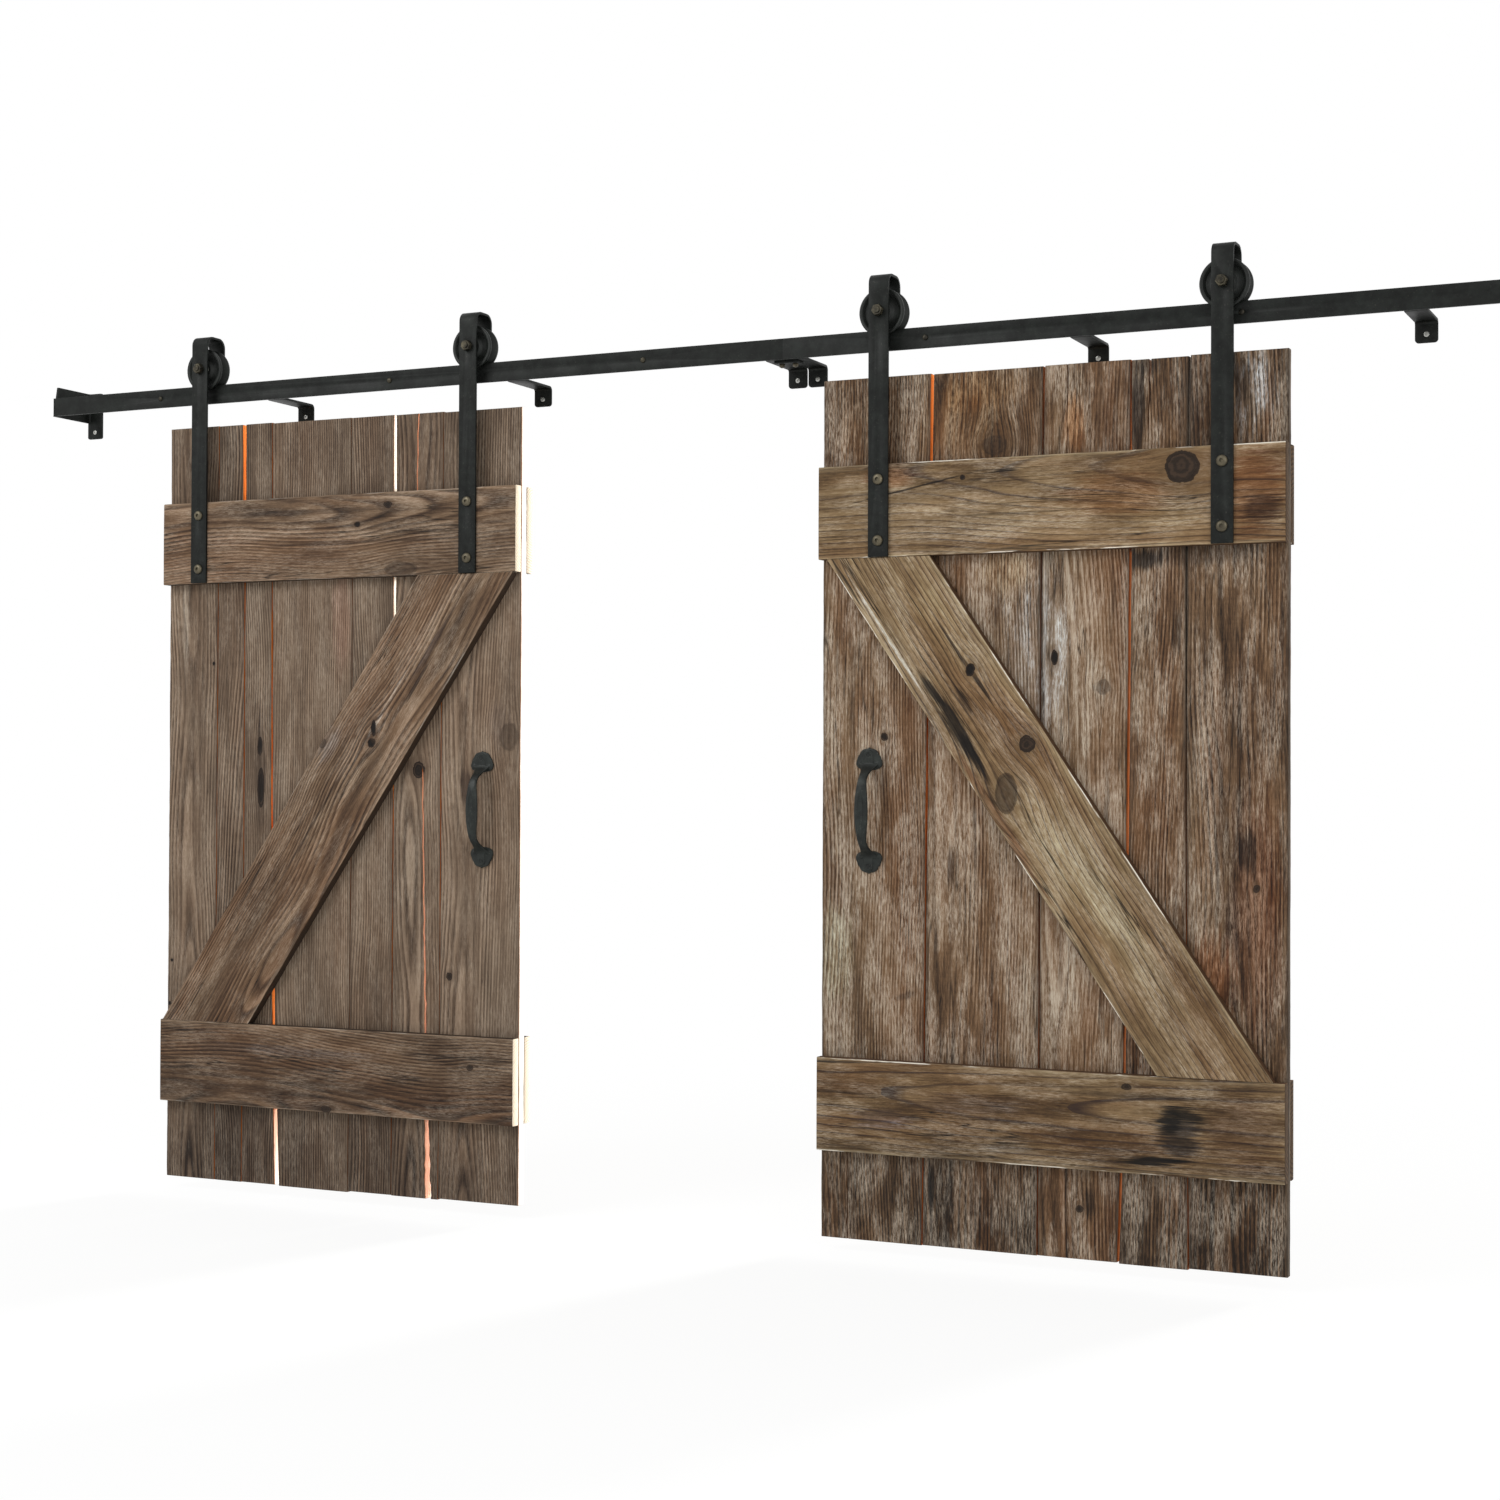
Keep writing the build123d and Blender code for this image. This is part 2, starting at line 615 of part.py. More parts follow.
# Handle: two shield-shaped plates joined by a bowed grip, cast in one piece
def make_handle(side_name, x, z):
    half = handle_length / 2
    wide = handle_plate_width / 2
    screw_row = half - handle_hole_inset
    front = handle_plate + handle_boss_height
    # The shield's outline as shares of its half width and its length, from the tip in
    shares = [(0.12, 0.051), (0.463, 0.077), (0.761, 0.18), (0.955, 0.385)]
    shares += [(1, 0.551), (0.791, 0.692), (0.492, 0.795)]
    shield = [(0, half)] + [(wide * u, half - handle_plate_length * v) for u, v in shares]
    shield += [(0.82 * handle_grip_width / 2, half - handle_plate_length)]
    # The grip's bow as shares of its half length and its rise
    stations = [(0, 1), (0.412, 0.917), (0.722, 0.646), (0.907, 0.333)]
    bow = [(handle_root * v, handle_rise * out) for v, out in stations]
    thick = handle_grip_depth / 2
    foot = 0.8 * handle_plate
    outer = [(v + 0.3 * thick, out + thick) for v, out in bow[1:]] + [(handle_root, foot)]
    inner = [(v - 0.5 * thick, out - thick) for v, out in bow[1:]]
    inner += [(handle_root - 2.6 * thick, foot)]
    outer = [(-v, out) for v, out in reversed(outer)] + [(0, handle_rise + thick)] + outer
    inner = [(-v, out) for v, out in reversed(inner)] + [(0, handle_rise - thick)] + inner
    outer = [(-plank_front - out, z + v) for v, out in outer]
    inner = [(-plank_front - out, z + v) for v, out in inner]
    slim = 0.82 * handle_grip_width / 2
    with BuildPart() as handle:
        with BuildSketch(Plane.YZ.offset(x)):
            with BuildLine():
                Spline(*outer)
                Line(outer[-1], inner[-1])
                Spline(*inner)
                Line(inner[0], outer[0])
            make_face()
        extrude(amount=handle_grip_width / 2, both=True)
        with BuildSketch(facing_room(plank_front, x, z)):
            with BuildLine():
                ThreePointArc((slim, -handle_root), (handle_grip_width / 2, 0), (slim, handle_root))
                Line((slim, handle_root), (-slim, handle_root))
                ThreePointArc((-slim, handle_root), (-handle_grip_width / 2, 0), (-slim, -handle_root))
                Line((-slim, -handle_root), (slim, -handle_root))
            make_face()
        extrude(amount=handle_rise + handle_grip_depth, mode=Mode.INTERSECT)
        chamfer(handle.edges().filter_by(lambda e: e.length > handle_root), handle_grip_chamfer)
        for end in (-1, 1):
            outline = [(u, end * v) for u, v in shield]
            with BuildSketch(facing_room(plank_front, x, z)):
                with BuildLine():
                    Polyline(*outline[:2])
                    Spline(*outline[1:])
                    Line(outline[-1], (-outline[-1][0], outline[-1][1]))
                    Spline(*[(-u, v) for u, v in outline[1:]])
                    Polyline(*[(-u, v) for u, v in outline[:2]])
                make_face()
            extrude(amount=handle_plate)
        for end in (-1, 1):
            with BuildSketch(facing_room(plank_front, x, z)):
                with Locations((0, end * screw_row)):
                    Circle(handle_boss_width / 2)
                with Locations((0, end * (screw_row - handle_boss_length / 4))):
                    Rectangle(handle_boss_width, handle_boss_length / 2)
                bump_row = end * (half - handle_bump_inset)
                with Locations([(u, bump_row) for u in (-handle_bump_side, handle_bump_side)]):
                    Circle(handle_bump_radius)
            extrude(amount=front)
        with BuildSketch(facing_room(plank_front + handle_rise + handle_grip_depth / 2, x, z)):
            Ellipse(handle_recess_width / 2, handle_recess_length / 2)
        extrude(amount=-handle_recess_depth, mode=Mode.SUBTRACT)
        shank = handle_screw_radius + handle_screw_clearance
        sink = handle_screw_head_radius + handle_screw_clearance
        with Locations([facing_room(plank_front + front, x, z + end * screw_row) for end in (-1, 1)]):
            CounterSinkHole(shank, sink, counter_sink_angle=90)
    save(handle, f"{side_name}_handle")
    head = handle_screw_head_radius - handle_screw_radius
    rows = [(-x, z + end * screw_row) for end in (-1, 1)]
    with BuildPart() as screws:
        with BuildSketch(facing_wall(plank_front + front)):
            with Locations(rows):
                Circle(handle_screw_head_radius)
        extrude(amount=head, taper=45)
        with BuildSketch(facing_wall(plank_front + front)):
            with Locations(rows):
                Circle(handle_screw_radius)
        extrude(amount=handle_screw_length)
    save(screws, f"{side_name}_handle_screws")


for side_name, door in doors.items():
    start = door["start"]
    hanger_places = [start + inset * part_wide for inset in door["hangers"].values()]
    strap_places = [(x, z) for x in hanger_places for z in strap_bolt_heights]
    handle_x = start + door["handle"][0] * part_wide
    handle_z = door_bottom + door["handle"][1] * part_high
    screw_row = handle_length / 2 - handle_hole_inset
    screw_places = [(handle_x, handle_z + end * screw_row) for end in (-1, 1)]
    for place, x in zip(door["hangers"], hanger_places):
        make_wheel(side_name, place, x)
        make_hanger(side_name, place, x)
    make_fasteners(side_name, hanger_places)
    make_planks(side_name, door, strap_places, screw_places)
    make_batten(f"{side_name}_front_batten_top", start, high_batten_bottom, plank_front, True, strap_places)
    make_batten(f"{side_name}_front_batten_bottom", start, low_batten_bottom, plank_front, True, strap_places)
    make_batten(f"{side_name}_back_batten_top", start, high_batten_bottom, batten_back, False, strap_places)
    make_batten(f"{side_name}_back_batten_bottom", start, low_batten_bottom, batten_back, False, strap_places)
    make_brace(side_name, door)
    make_handle(side_name, handle_x, handle_z)
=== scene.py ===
"""Finishes for a pair of sliding plank doors on a flat-bar rail: weathered boards, blackened steel, cast pulls."""

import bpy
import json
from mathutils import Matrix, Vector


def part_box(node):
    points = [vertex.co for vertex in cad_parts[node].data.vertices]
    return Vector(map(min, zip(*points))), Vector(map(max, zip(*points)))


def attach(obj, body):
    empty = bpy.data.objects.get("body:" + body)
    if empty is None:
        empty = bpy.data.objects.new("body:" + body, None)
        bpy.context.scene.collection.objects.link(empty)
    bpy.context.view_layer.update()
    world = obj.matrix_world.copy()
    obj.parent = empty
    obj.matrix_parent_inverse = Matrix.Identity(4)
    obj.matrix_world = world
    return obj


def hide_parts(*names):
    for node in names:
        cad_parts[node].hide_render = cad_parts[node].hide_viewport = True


bl_info = {
    "name": "Sliding Plank Doors",
    "version": (1, 0, 0),
    "blender": (4, 5, 0),
    "location": "View3D > Sidebar > Plank Doors",
    "description": "Dresses a pair of sliding plank doors with worn boards, strap hangers, wheels and cast pulls",
    "category": "Object",
}

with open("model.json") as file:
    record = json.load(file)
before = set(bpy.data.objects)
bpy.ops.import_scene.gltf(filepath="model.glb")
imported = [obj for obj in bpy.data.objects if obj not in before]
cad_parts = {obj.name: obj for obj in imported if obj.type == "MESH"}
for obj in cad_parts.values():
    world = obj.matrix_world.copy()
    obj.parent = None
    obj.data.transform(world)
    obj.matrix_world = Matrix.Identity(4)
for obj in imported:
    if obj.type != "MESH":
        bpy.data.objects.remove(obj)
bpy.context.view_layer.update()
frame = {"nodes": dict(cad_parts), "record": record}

import json
import math

import bmesh
import bpy
import numpy as np
from mathutils import Matrix, Vector

MM = 0.001
SIDES = ("left", "right")
PLACES = ("outer", "inner")

# Kinds of node that the materials use most, some with their setting, and what makes a Mix node mix colours
MATH, VECTOR, RANGE = "ShaderNodeMath", "ShaderNodeVectorMath", "ShaderNodeMapRange"
ADD, TIMES, TIMES_PLUS, LARGEST = (
    (MATH, {"operation": name}) for name in ("ADD", "MULTIPLY", "MULTIPLY_ADD", "MAXIMUM")
)
MIX, NOISE, RAMP, MAPPING = "ShaderNodeMix", "ShaderNodeTexNoise", "ShaderNodeValToRGB", "ShaderNodeMapping"
COLOUR = {"out": 2, "data_type": "RGBA"}

# In millimetres: depths are out from the wall, levels up from the middle of the screws in the wall
PLANK_FRONT, PLANK_THICK = 157.0, 27.0
BATTEN_FRONT, BACK_BATTEN_FRONT, BATTEN_THICK = 187.0, 130.0, 30.0
STRAP_FRONT, SPACERS, BACK_BATTEN_BACK = 193.0, (180.9, 127.2), 100.0
RAIL_FRONT, RAIL_BOLT_LEVEL, RAIL_BOLT_PITCH, RAIL_SHIFT = 158.0, 52.0, 750.0, -6.0
TAB_FRONT, STOP_TAB = 6.0, 2240.0
DOOR_WIDTH = 1115
FLOOR = -2112.0
LEVELS = (-34.0, -465.0, -1057.5, -1650.0, -2081.0)
BATTEN_LEVELS = {"top": (-465, -244), "bottom": (-1871, -1650)}
STRAP_BOLT_LEVELS = (-426.0, -281.0)
# Spacings of a board's points along and across it, and a distance farther than any board reaches
ROW_STEP, COLUMN_STEP, FAR = 13, 11, 1e3

# Each door's boards, in millimetres from its left edge, start. seams are places and widths at the five levels,
# the trims are cut off each plank's top and foot, and brace is its foot, its head and its width, cut level.
# tones say how pale each board is, glow how fresh the wood is in each seam and, past 0.9, how bright a painted
# glow of light from behind is there, edge that of the door's right edge, and cleft that of the planks' splits,
# which are rows of (x, z, width) in the doors' frame.
DOORS = {
    "left": {
        "start": -1844.5,
        "seams": [
            ((162, 162, 162, 161, 161), (0.8, 0.8, 0.8, 0.8, 0.8)),
            ((246, 251, 252, 252, 250), (11, 2.5, 1.2, 0.8, 0.8)),
            ((338, 341, 344, 354, 367), (1.2, 2.2, 3, 7, 13)),
            ((592, 599, 600, 597, 594), (0.8, 0.8, 0.8, 0.8, 0.8)),
            ((731, 732, 731, 730, 730), (7, 7, 1, 0.8, 0.8)),
            ((880, 878, 877, 876, 874), (0.8, 0.8, 0.8, 0.8, 0.8)),
        ],
        "top_trim": (1, 2, 2, 4, 5, 6, 8),
        "low_trim": (1, 1, 2, 0, 3, 2, 5),
        "brace": (6.0, 821.0, 286.0),
        "glow": (
            0.7, (1.35, 0.9, 0.85, 0.8, 0.8), (0.6, 0.9, 1.4, 1.2, 1.9), 0.3, (2, 2, 1.1, 0.5, 0.5),
            (0.3, 0.6, 1, 0.5, 0.4),
        ),
        "edge": 1.9,
        "cleft": 1.65,
        "tones": (0.58, 0.5, 0.56, 0.62, 0.57, 0.6, 0.66),
        "ledge_tones": (0.55, 0.51, 0.51, 0.51, 0.5),
        "splits": {
            6: [
                (-1040.5, -34, 2.5), (-1043, -139, 2), (-1044, -334, 1.5), (-1044, -360, 0), (-1023, -965, 0),
                (-1022.5, -991, 2), (-1008.5, -1700, 4.5), (-999.5, -2081, 17),
            ],
        },
    },
    "right": {
        "start": 108.5,
        "seams": [
            ((278, 272, 266, 262, 258), (7, 2.5, 3, 1.5, 1.5)),
            ((552, 546, 544, 543, 540), (3, 2.5, 2, 2, 1.5)),
            ((758, 757, 752, 745, 731), (3, 4.5, 4.5, 4, 4)),
            ((893, 886, 886, 890, 893), (4, 3, 1, 1, 1.2)),
        ],
        "top_trim": (0, 2, 1, 3, 1),
        "low_trim": (0, 1, 2, 0, 3),
        "brace": (828.0, 21.0, 262.0),
        "glow": (
            (1.15, 0.75, 0.95, 0.7, 0.95), (0.5, 0.3, 0.3, 0.5, 0.6), (0.5, 0.65, 0.7, 0.6, 0.65),
            (0.0, 0.0, 0.3, 0.8, 0.8),
        ),
        "edge": 0.0,
        "cleft": 0.2,
        "tones": (0.58, 0.54, 0.68, 0.54, 0.47),
        "ledge_tones": (0.57, 0.53, 0.53, 0.53, 0.57),
        "splits": {
            1: [(175.5, -34, 0), (175.5, -1856, 0), (175.5, -1881, 1.5), (176.5, -2011, 2.5), (177.5, -2081, 3)],
            3: [(716.5, -34, 2.5), (716.5, -125, 2), (715.5, -294, 1.5), (715.5, -320, 0), (715.5, -2081, 0)],
            4: [(911.5, -34, 6), (909.5, -86, 4), (907.5, -184, 2), (907.5, -210, 0), (880.5, -2081, 0)],
        },
    },
}

# Knots as (x, z, half width, half height, depth of colour, hole), in millimetres in the doors' frame
KNOTS = {
    "left_planks": [
        (-1035, -969, 17, 20, 1.0, 0.7), (-939, -1502, 9, 10, 0.9, 0.6), (-1540, -907, 8, 24, 1.0, 0.9),
        (-1536, -1018, 11, 50, 1.0, 0.8), (-1837, -1609, 4, 5, 0.9, 1.0), (-1830, -1491, 4, 4, 0.9, 1.0),
        (-1695, -681, 4, 5, 0.9, 1.0), (-763, -884, 26, 34, 0.25, 0.0),
    ],
    "left_battens": [
        (-1210, -325, 9, 7, 0.9, 0.9), (-1116, -277, 13, 8, 0.9, 0.6), (-1075, -447, 46, 18, 0.35, 0.0),
        (-1299, -1862, 17, 8, 0.8, 0.3), (-856, -1729, 9, 7, 0.8, 0.4), (-1162, -898, 11, 11, 1.0, 1.0),
        (-1156, -860, 7, 20, 1.0, 1.0), (-1316, -898, 11, 13, 0.5, 0.0),
    ],
    "right_planks": [
        (687, -708, 8, 17, 1.0, 1.0), (268, -888, 9, 9, 0.9, 0.8), (803, -777, 15, 17, 0.3, 0.0),
        (1154, -1227, 7, 9, 0.8, 0.4), (750, -1965, 8, 8, 0.8, 0.6), (540, -212, 30, 22, 0.3, 0.0),
    ],
    "right_battens": [
        (992, -288, 37, 34, 1.0, 0.15), (473, -287, 7, 6, 0.9, 0.8), (633, -905, 18, 18, 1.0, 0.3),
        (582, -1020, 25, 44, 0.55, 0.0), (493, -734, 11, 13, 1.0, 1.0), (867, -1677, 11, 7, 0.8, 0.5),
    ],
}

# Stains, scorched or pale streaks and long checks, whose dark is painted shade in the cracks: (x, z, half length, half
# width, turn in degrees, colour, strength)
MARKS = {
    "left_planks": [
        (-890, -1010, 44, 20, 90, "#3a2d26", 0.7), (-918, -650, 70, 14, 90, "#3b2e28", 0.65),
        (-1538, -985, 150, 19, 90, "#3a2f27", 0.65), (-796, -850, 60, 34, 90, "#6a5c52", 0.35),
        (-1276, -560, 160, 36, 90, "#8a6656", 0.25), (-1790, -560, 200, 12, 90, "#8f8171", 0.5),
    ],
    "left_battens": [
        (-1456, -285, 360, 9, 0, "#38291f", 0.5), (-1250, -372, 420, 4, 0, "#34261d", 0.45),
        (-985, -660, 120, 8, 55.5, "#3f332f", 0.6), (-1016, -735, 80, 5, 55.5, "#2a201b", 0.75),
        (-1296, -905, 62, 26, 55.5, "#75695f", 0.5), (-1500, -1290, 100, 16, 55.5, "#493322", 0.5),
        (-1136, -830, 170, 5, 55.5, "#a59682", 0.6), (-1330, -1090, 260, 4, 55.5, "#33261d", 0.6),
        (-1450, -1715, 360, 14, 0, "#4e4540", 0.4), (-1300, -1864, 26, 8, 0, "#2a211b", 0.7),
    ],
    "right_planks": [
        (240, -150, 110, 90, 90, "#694b2f", 0.55), (470, -160, 110, 120, 90, "#73512f", 0.6),
        (640, -150, 110, 60, 90, "#6a4b30", 0.5), (820, -160, 100, 60, 90, "#5d4631", 0.5),
        (1020, -150, 110, 80, 90, "#5a4532", 0.55), (569, -503, 62, 55, 0, "#8a6c4a", 0.6),
        (494, -78, 120, 60, 0, "#7a5632", 0.6), (734, -178, 75, 28, 90, "#80522c", 0.7),
        (884, -148, 110, 22, 90, "#1a0f0a", 0.8), (900, -50, 36, 26, 0, "#1a0f0a", 0.6),
        (1144, -128, 85, 50, 90, "#a39684", 0.6), (1120, -100, 60, 20, 90, "#2a1c12", 0.6),
        (899, -490, 50, 28, 0, "#14100d", 0.85), (1030, -480, 150, 32, 0, "#2b211a", 0.5),
        (1150, -1298, 300, 70, 90, "#5c3319", 0.65), (1120, -900, 260, 70, 90, "#5f4631", 0.45),
        (1055, -1450, 130, 50, 90, "#70401f", 0.7), (1134, -1148, 60, 22, 90, "#120c08", 0.75),
        (974, -648, 70, 10, 90, "#1c130d", 0.6), (434, -1188, 60, 8, 90, "#2a1c14", 0.7),
        (140, -1400, 120, 50, 90, "#92805f", 0.5), (324, -1498, 28, 10, 20, "#2a1c14", 0.5),
        (389, -1938, 62, 12, 90, "#120c08", 0.8), (774, -1950, 44, 14, 90, "#1a120c", 0.7),
        (650, -700, 170, 80, 90, "#a39684", 0.4),
    ],
    "right_battens": [
        (594, -422, 230, 20, 0, "#a28c6c", 0.6), (440, -350, 150, 26, 6, "#9c8260", 0.5),
        (954, -402, 100, 24, 0, "#9c8662", 0.5), (844, -340, 130, 56, 0, "#835c36", 0.6),
        (294, -275, 70, 26, 0, "#7f5029", 0.6), (1150, -348, 76, 110, 0, "#6e4422", 0.65),
        (1172, -392, 52, 36, 0, "#2a1509", 0.7), (350, -305, 170, 2.5, 11, "#1c130e", 0.85),
        # Along the right brace, turned 124 degrees; its near-black marks are painted shade in hollows
        (398, -782, 60, 13, 124, "#120d0a", 0.9), (460, -872, 110, 21, 124, "#14100c", 0.9),
        (500, -930, 70, 12, 124, "#2a2019", 0.75), (514, -764, 80, 7, 124, "#1c1511", 0.85),
        (446, -668, 80, 5, 124, "#33271e", 0.75), (478, -806, 46, 8, 124, "#2a211a", 0.75),
        (296, -668, 190, 4, 124, "#b5a890", 0.8), (430, -640, 160, 46, 124, "#96825f", 0.5),
        (776, -1228, 260, 56, 124, "#998563", 0.5), (560, -1075, 230, 13, 124, "#6e452a", 0.6),
        (990, -1782, 56, 66, 0, "#40382f", 0.9), (968, -1750, 30, 34, 0, "#1b1611", 0.85),
        (1002, -1732, 56, 16, -15, "#1b1611", 0.85), (935, -1838, 80, 14, 4, "#120d09", 0.95),
        (274, -1788, 74, 24, 0, "#948478", 0.5), (590, -1838, 64, 10, 0, "#a59880", 0.5),
        (870, -1698, 160, 9, 0, "#2f241b", 0.5), (500, -1742, 170, 30, 0, "#5a4a44", 0.35),
        (1130, -1760, 100, 90, 0, "#5f452e", 0.65),
    ],
}

# Turned shapes as (distance back, radius) in millimetres, and for a hexagon half the distance across its flats
PROFILES = {
    "wheel_half": [
        (-20.5, 16.2), (-20.5, 22.2), (-19.9, 23.0), (-14.2, 27.6), (-13.0, 29.4), (-13.0, 42.4),
        (-14.0, 43.9), (-19.6, 48.4), (-20.5, 49.6), (-20.5, 54.8), (-19.7, 56.4), (-18.2, 57.0),
        (-14.6, 57.0), (-13.0, 56.3), (-12.1, 54.9), (-6.6, 42.4), (-5.6, 41.0), (-4.6, 40.5),
    ],
    "sleeve": [(-20.5, 8.05), (-20.5, 15.4), (-19.9, 16.0), (19.9, 16.0), (20.5, 15.4), (20.5, 8.05)],
    "axle_bolt": [
        (91.5, 0), (91.5, 11.5, 12), (90.0, 13.9, 12), (84.0, 13.9, 12), (78.0, 13.9, 12), (78.0, 8.0),
        (0, 8.0), (0, 13.9, 12), (-11.6, 13.9, 12), (-13.0, 11.8, 12), (-13.0, 8.4), (-12.6, 8.0),
        (-15.0, 8.0), (-16.0, 7.0), (-16.0, 0),
    ],
    "spacer": [(-6.0, 8.3), (-6.0, 12.4), (-5.4, 13.0), (5.4, 13.0), (6.0, 12.4), (6.0, 8.3)],
    "strap_bolt": [
        (109.5, 0), (109.5, 5.2), (108.5, 6.0), (0, 6.0), (0, 12.2), (-1.0, 13.0), (-2.6, 12.9),
        (-4.6, 11.6), (-6.0, 9.5), (-6.8, 6.8), (-7.0, 5.2, 4.4), (-6.6, 4.6, 4.0), (-3.0, 4.6, 4.0),
        (-2.6, 0),
    ],
    "nut_and_washer": [
        (0, 6.2), (0, 15.0), (2.1, 15.0), (2.5, 14.6), (2.5, 11.0, 9.5), (11.5, 11.0, 9.5),
        (12.5, 9.7, 9.5), (12.5, 6.2),
    ],
    "rail_bolt": [
        (16.0, 0), (16.0, 3.5), (15.5, 4.0), (14.1, 4.0), (14.0, 6.6, 6.5), (13.5, 7.5, 6.5),
        (8.0, 7.5, 6.5), (8.0, 4.0), (0, 4.0), (0, 6.9), (-1.2, 6.8), (-3.0, 5.6), (-3.9, 3.4), (-4.0, 0),
    ],
    "wall_screw": [
        (5.8, 0), (5.8, 3.0), (3.0, 3.0), (0.3, 6.1), (0, 6.0), (-0.4, 4.0), (-0.4, 2.6, 2.0),
        (1.2, 2.0, 1.6), (1.2, 0),
    ],
}


# Nodes, colours and meshes


def linear(code):
    """A hex colour as linear red, green, blue and alpha."""
    parts = [int(code[i : i + 2], 16) / 255 for i in (1, 3, 5)]
    return [c / 12.92 if c <= 0.04045 else ((c + 0.055) / 1.055) ** 2.4 for c in parts] + [1.0]


def put(tree, kind, inputs=(), out=0, **settings):
    """Add a node with its settings and inputs, listed in order or by name, and give back one of its outputs."""
    kind, usual = kind if isinstance(kind, tuple) else (kind, {})
    item = tree.nodes.new(kind)
    for key, value in {**usual, **settings}.items():
        setattr(item, key, value)
    for key, value in inputs.items() if isinstance(inputs, dict) else enumerate(inputs):
        if isinstance(value, bpy.types.NodeSocket):
            tree.links.new(value, item.inputs[key])
        else:
            item.inputs[key].default_value = value
    return item.outputs[out] if len(item.outputs) else item


def new_material(name):
    """A material with no nodes yet, and its node tree."""
    material = bpy.data.materials.new(name)
    material.use_nodes = True
    material.node_tree.nodes.clear()
    return material, material.node_tree


def new_object(name, points, faces, material):
    """A smooth mesh object at the origin with its place in its points."""
    mesh = bpy.data.meshes.new(name)
    mesh.from_pydata([tuple(p) for p in points], [], [tuple(f) for f in faces])
    mesh.update()
    mesh.shade_smooth()
    mesh.materials.append(material)
    piece = bpy.data.objects.new(name, mesh)
    bpy.context.scene.collection.objects.link(piece)
    return piece


def recalculate(piece, merge=0.0):
    """Turn every face of a closed piece outwards, with points closer than merge made one."""
    bm = bmesh.new()
    bm.from_mesh(piece.data)
    if merge:
        bmesh.ops.remove_doubles(bm, verts=bm.verts, dist=merge)
    bmesh.ops.recalc_face_normals(bm, faces=bm.faces)
    bm.to_mesh(piece.data)
    bm.free()


def settle(piece):
    """Apply a piece's modifiers, so that its mesh is what shows."""
    graph = bpy.context.evaluated_depsgraph_get()
    mesh = bpy.data.meshes.new_from_object(piece.evaluated_get(graph))
    old = piece.data
    piece.modifiers.clear()
    piece.data = mesh
    bpy.data.meshes.remove(old)
    mesh.name = piece.name


def dress(piece, body, slot, *nodes):
    """Say what a piece moves with and which nodes it stands in for; slot is not used."""
    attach(piece, body)
    if nodes:
        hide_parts(*nodes)


def middle(node):
    """The centre of a node's box."""
    return tuple((low + high) / 2 for low, high in zip(*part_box(node)))


def refined(node, material, bevel):
    """A merged copy of a frame node with soft worn edges."""
    bm = bmesh.new()
    bm.from_mesh(frame["nodes"][node].data)
    bmesh.ops.remove_doubles(bm, verts=bm.verts, dist=1e-5)
    bmesh.ops.dissolve_limit(bm, angle_limit=math.radians(1), verts=bm.verts, edges=bm.edges)
    mesh = bpy.data.meshes.new(f"{node}_worn")
    bm.to_mesh(mesh)
    bm.free()
    mesh.materials.append(material)
    piece = bpy.data.objects.new(mesh.name, mesh)
    bpy.context.scene.collection.objects.link(piece)
    edge = piece.modifiers.new("edge", "BEVEL")
    edge.width = bevel
    edge.segments = 2
    edge.limit_method = "ANGLE"
    edge.angle_limit = math.radians(30)
    settle(piece)
    piece.data.shade_smooth()
    piece.data.set_sharp_from_angle(angle=math.radians(40))
    return piece


def turned(name, profile, material, centre=(0, 0, 0), count=48, sharp=35):
    """A turned piece whose axis runs straight back through centre.

    The profile starts and ends on the axis, or else closes on itself round a bore."""
    x, y, z = centre
    points, faces = [], []
    for reach, radius, *flats in profile:
        for k in range(count):
            angle = 2 * math.pi * k / count
            r = radius * MM
            if flats:
                off_flat = (angle + math.pi / 6) % (math.pi / 3) - math.pi / 6
                r = min(r, flats[0] * MM / math.cos(off_flat))
            points.append((x + math.cos(angle) * r, y + reach * MM, z - math.sin(angle) * r))
    rows = len(profile)
    bored = profile[0][1] > 0
    for i in range(rows if bored else rows - 1):
        near, far = i * count, (i + 1) % rows * count
        for k in range(count):
            after = (k + 1) % count
            faces.append((near + k, near + after, far + after, far + k))
    piece = new_object(name, points, faces, material)
    recalculate(piece, 1e-6)
    piece.data.set_sharp_from_angle(angle=math.radians(sharp))
    return piece


def ripple(at, seed, longest, shortest, count=7):
    """A smooth random line from about -1 to 1, made of a few waves."""
    rng = np.random.default_rng(seed)
    value = np.zeros_like(at, dtype=float)
    total = 0.0
    for k in range(count):
        length = longest * (shortest / longest) ** (k / (count - 1))
        size = 1.0 / (1 + k) ** 0.6
        value += size * np.sin(2 * math.pi * (at / length + rng.random()))
        total += size
    return value / total * 1.8


# Boards


def worn_round(gap, radius):
    """How far a face has fallen away at a gap from its edge, where that edge is worn to a radius."""
    return radius * (1 - np.sqrt(np.clip(1 - (1 - gap / radius).clip(0, 1) ** 2, 0, 1)))


def split_lips(lines, split, reach, seed):
    """Both lips of a split through a board, and how wide it stands open at each row."""
    rows = np.array(split, float)[np.argsort([-row[1] for row in split])]
    level = -(lines[0][:, 1] + lines[1][:, 1]) / 2
    middle_x = np.interp(level, -rows[:, 1], rows[:, 0]) + 1.2 * ripple(reach, seed + 77, 120, 16, 6)
    opened = np.interp(level, -rows[:, 1], rows[:, 2])
    opened = np.where(opened > 0.25, opened * (1 + 0.25 * ripple(reach, seed + 78, 60, 9, 6)), 0)
    return [np.stack([middle_x + way * opened / 2, -level], 1) for way in (-1, 1)], opened


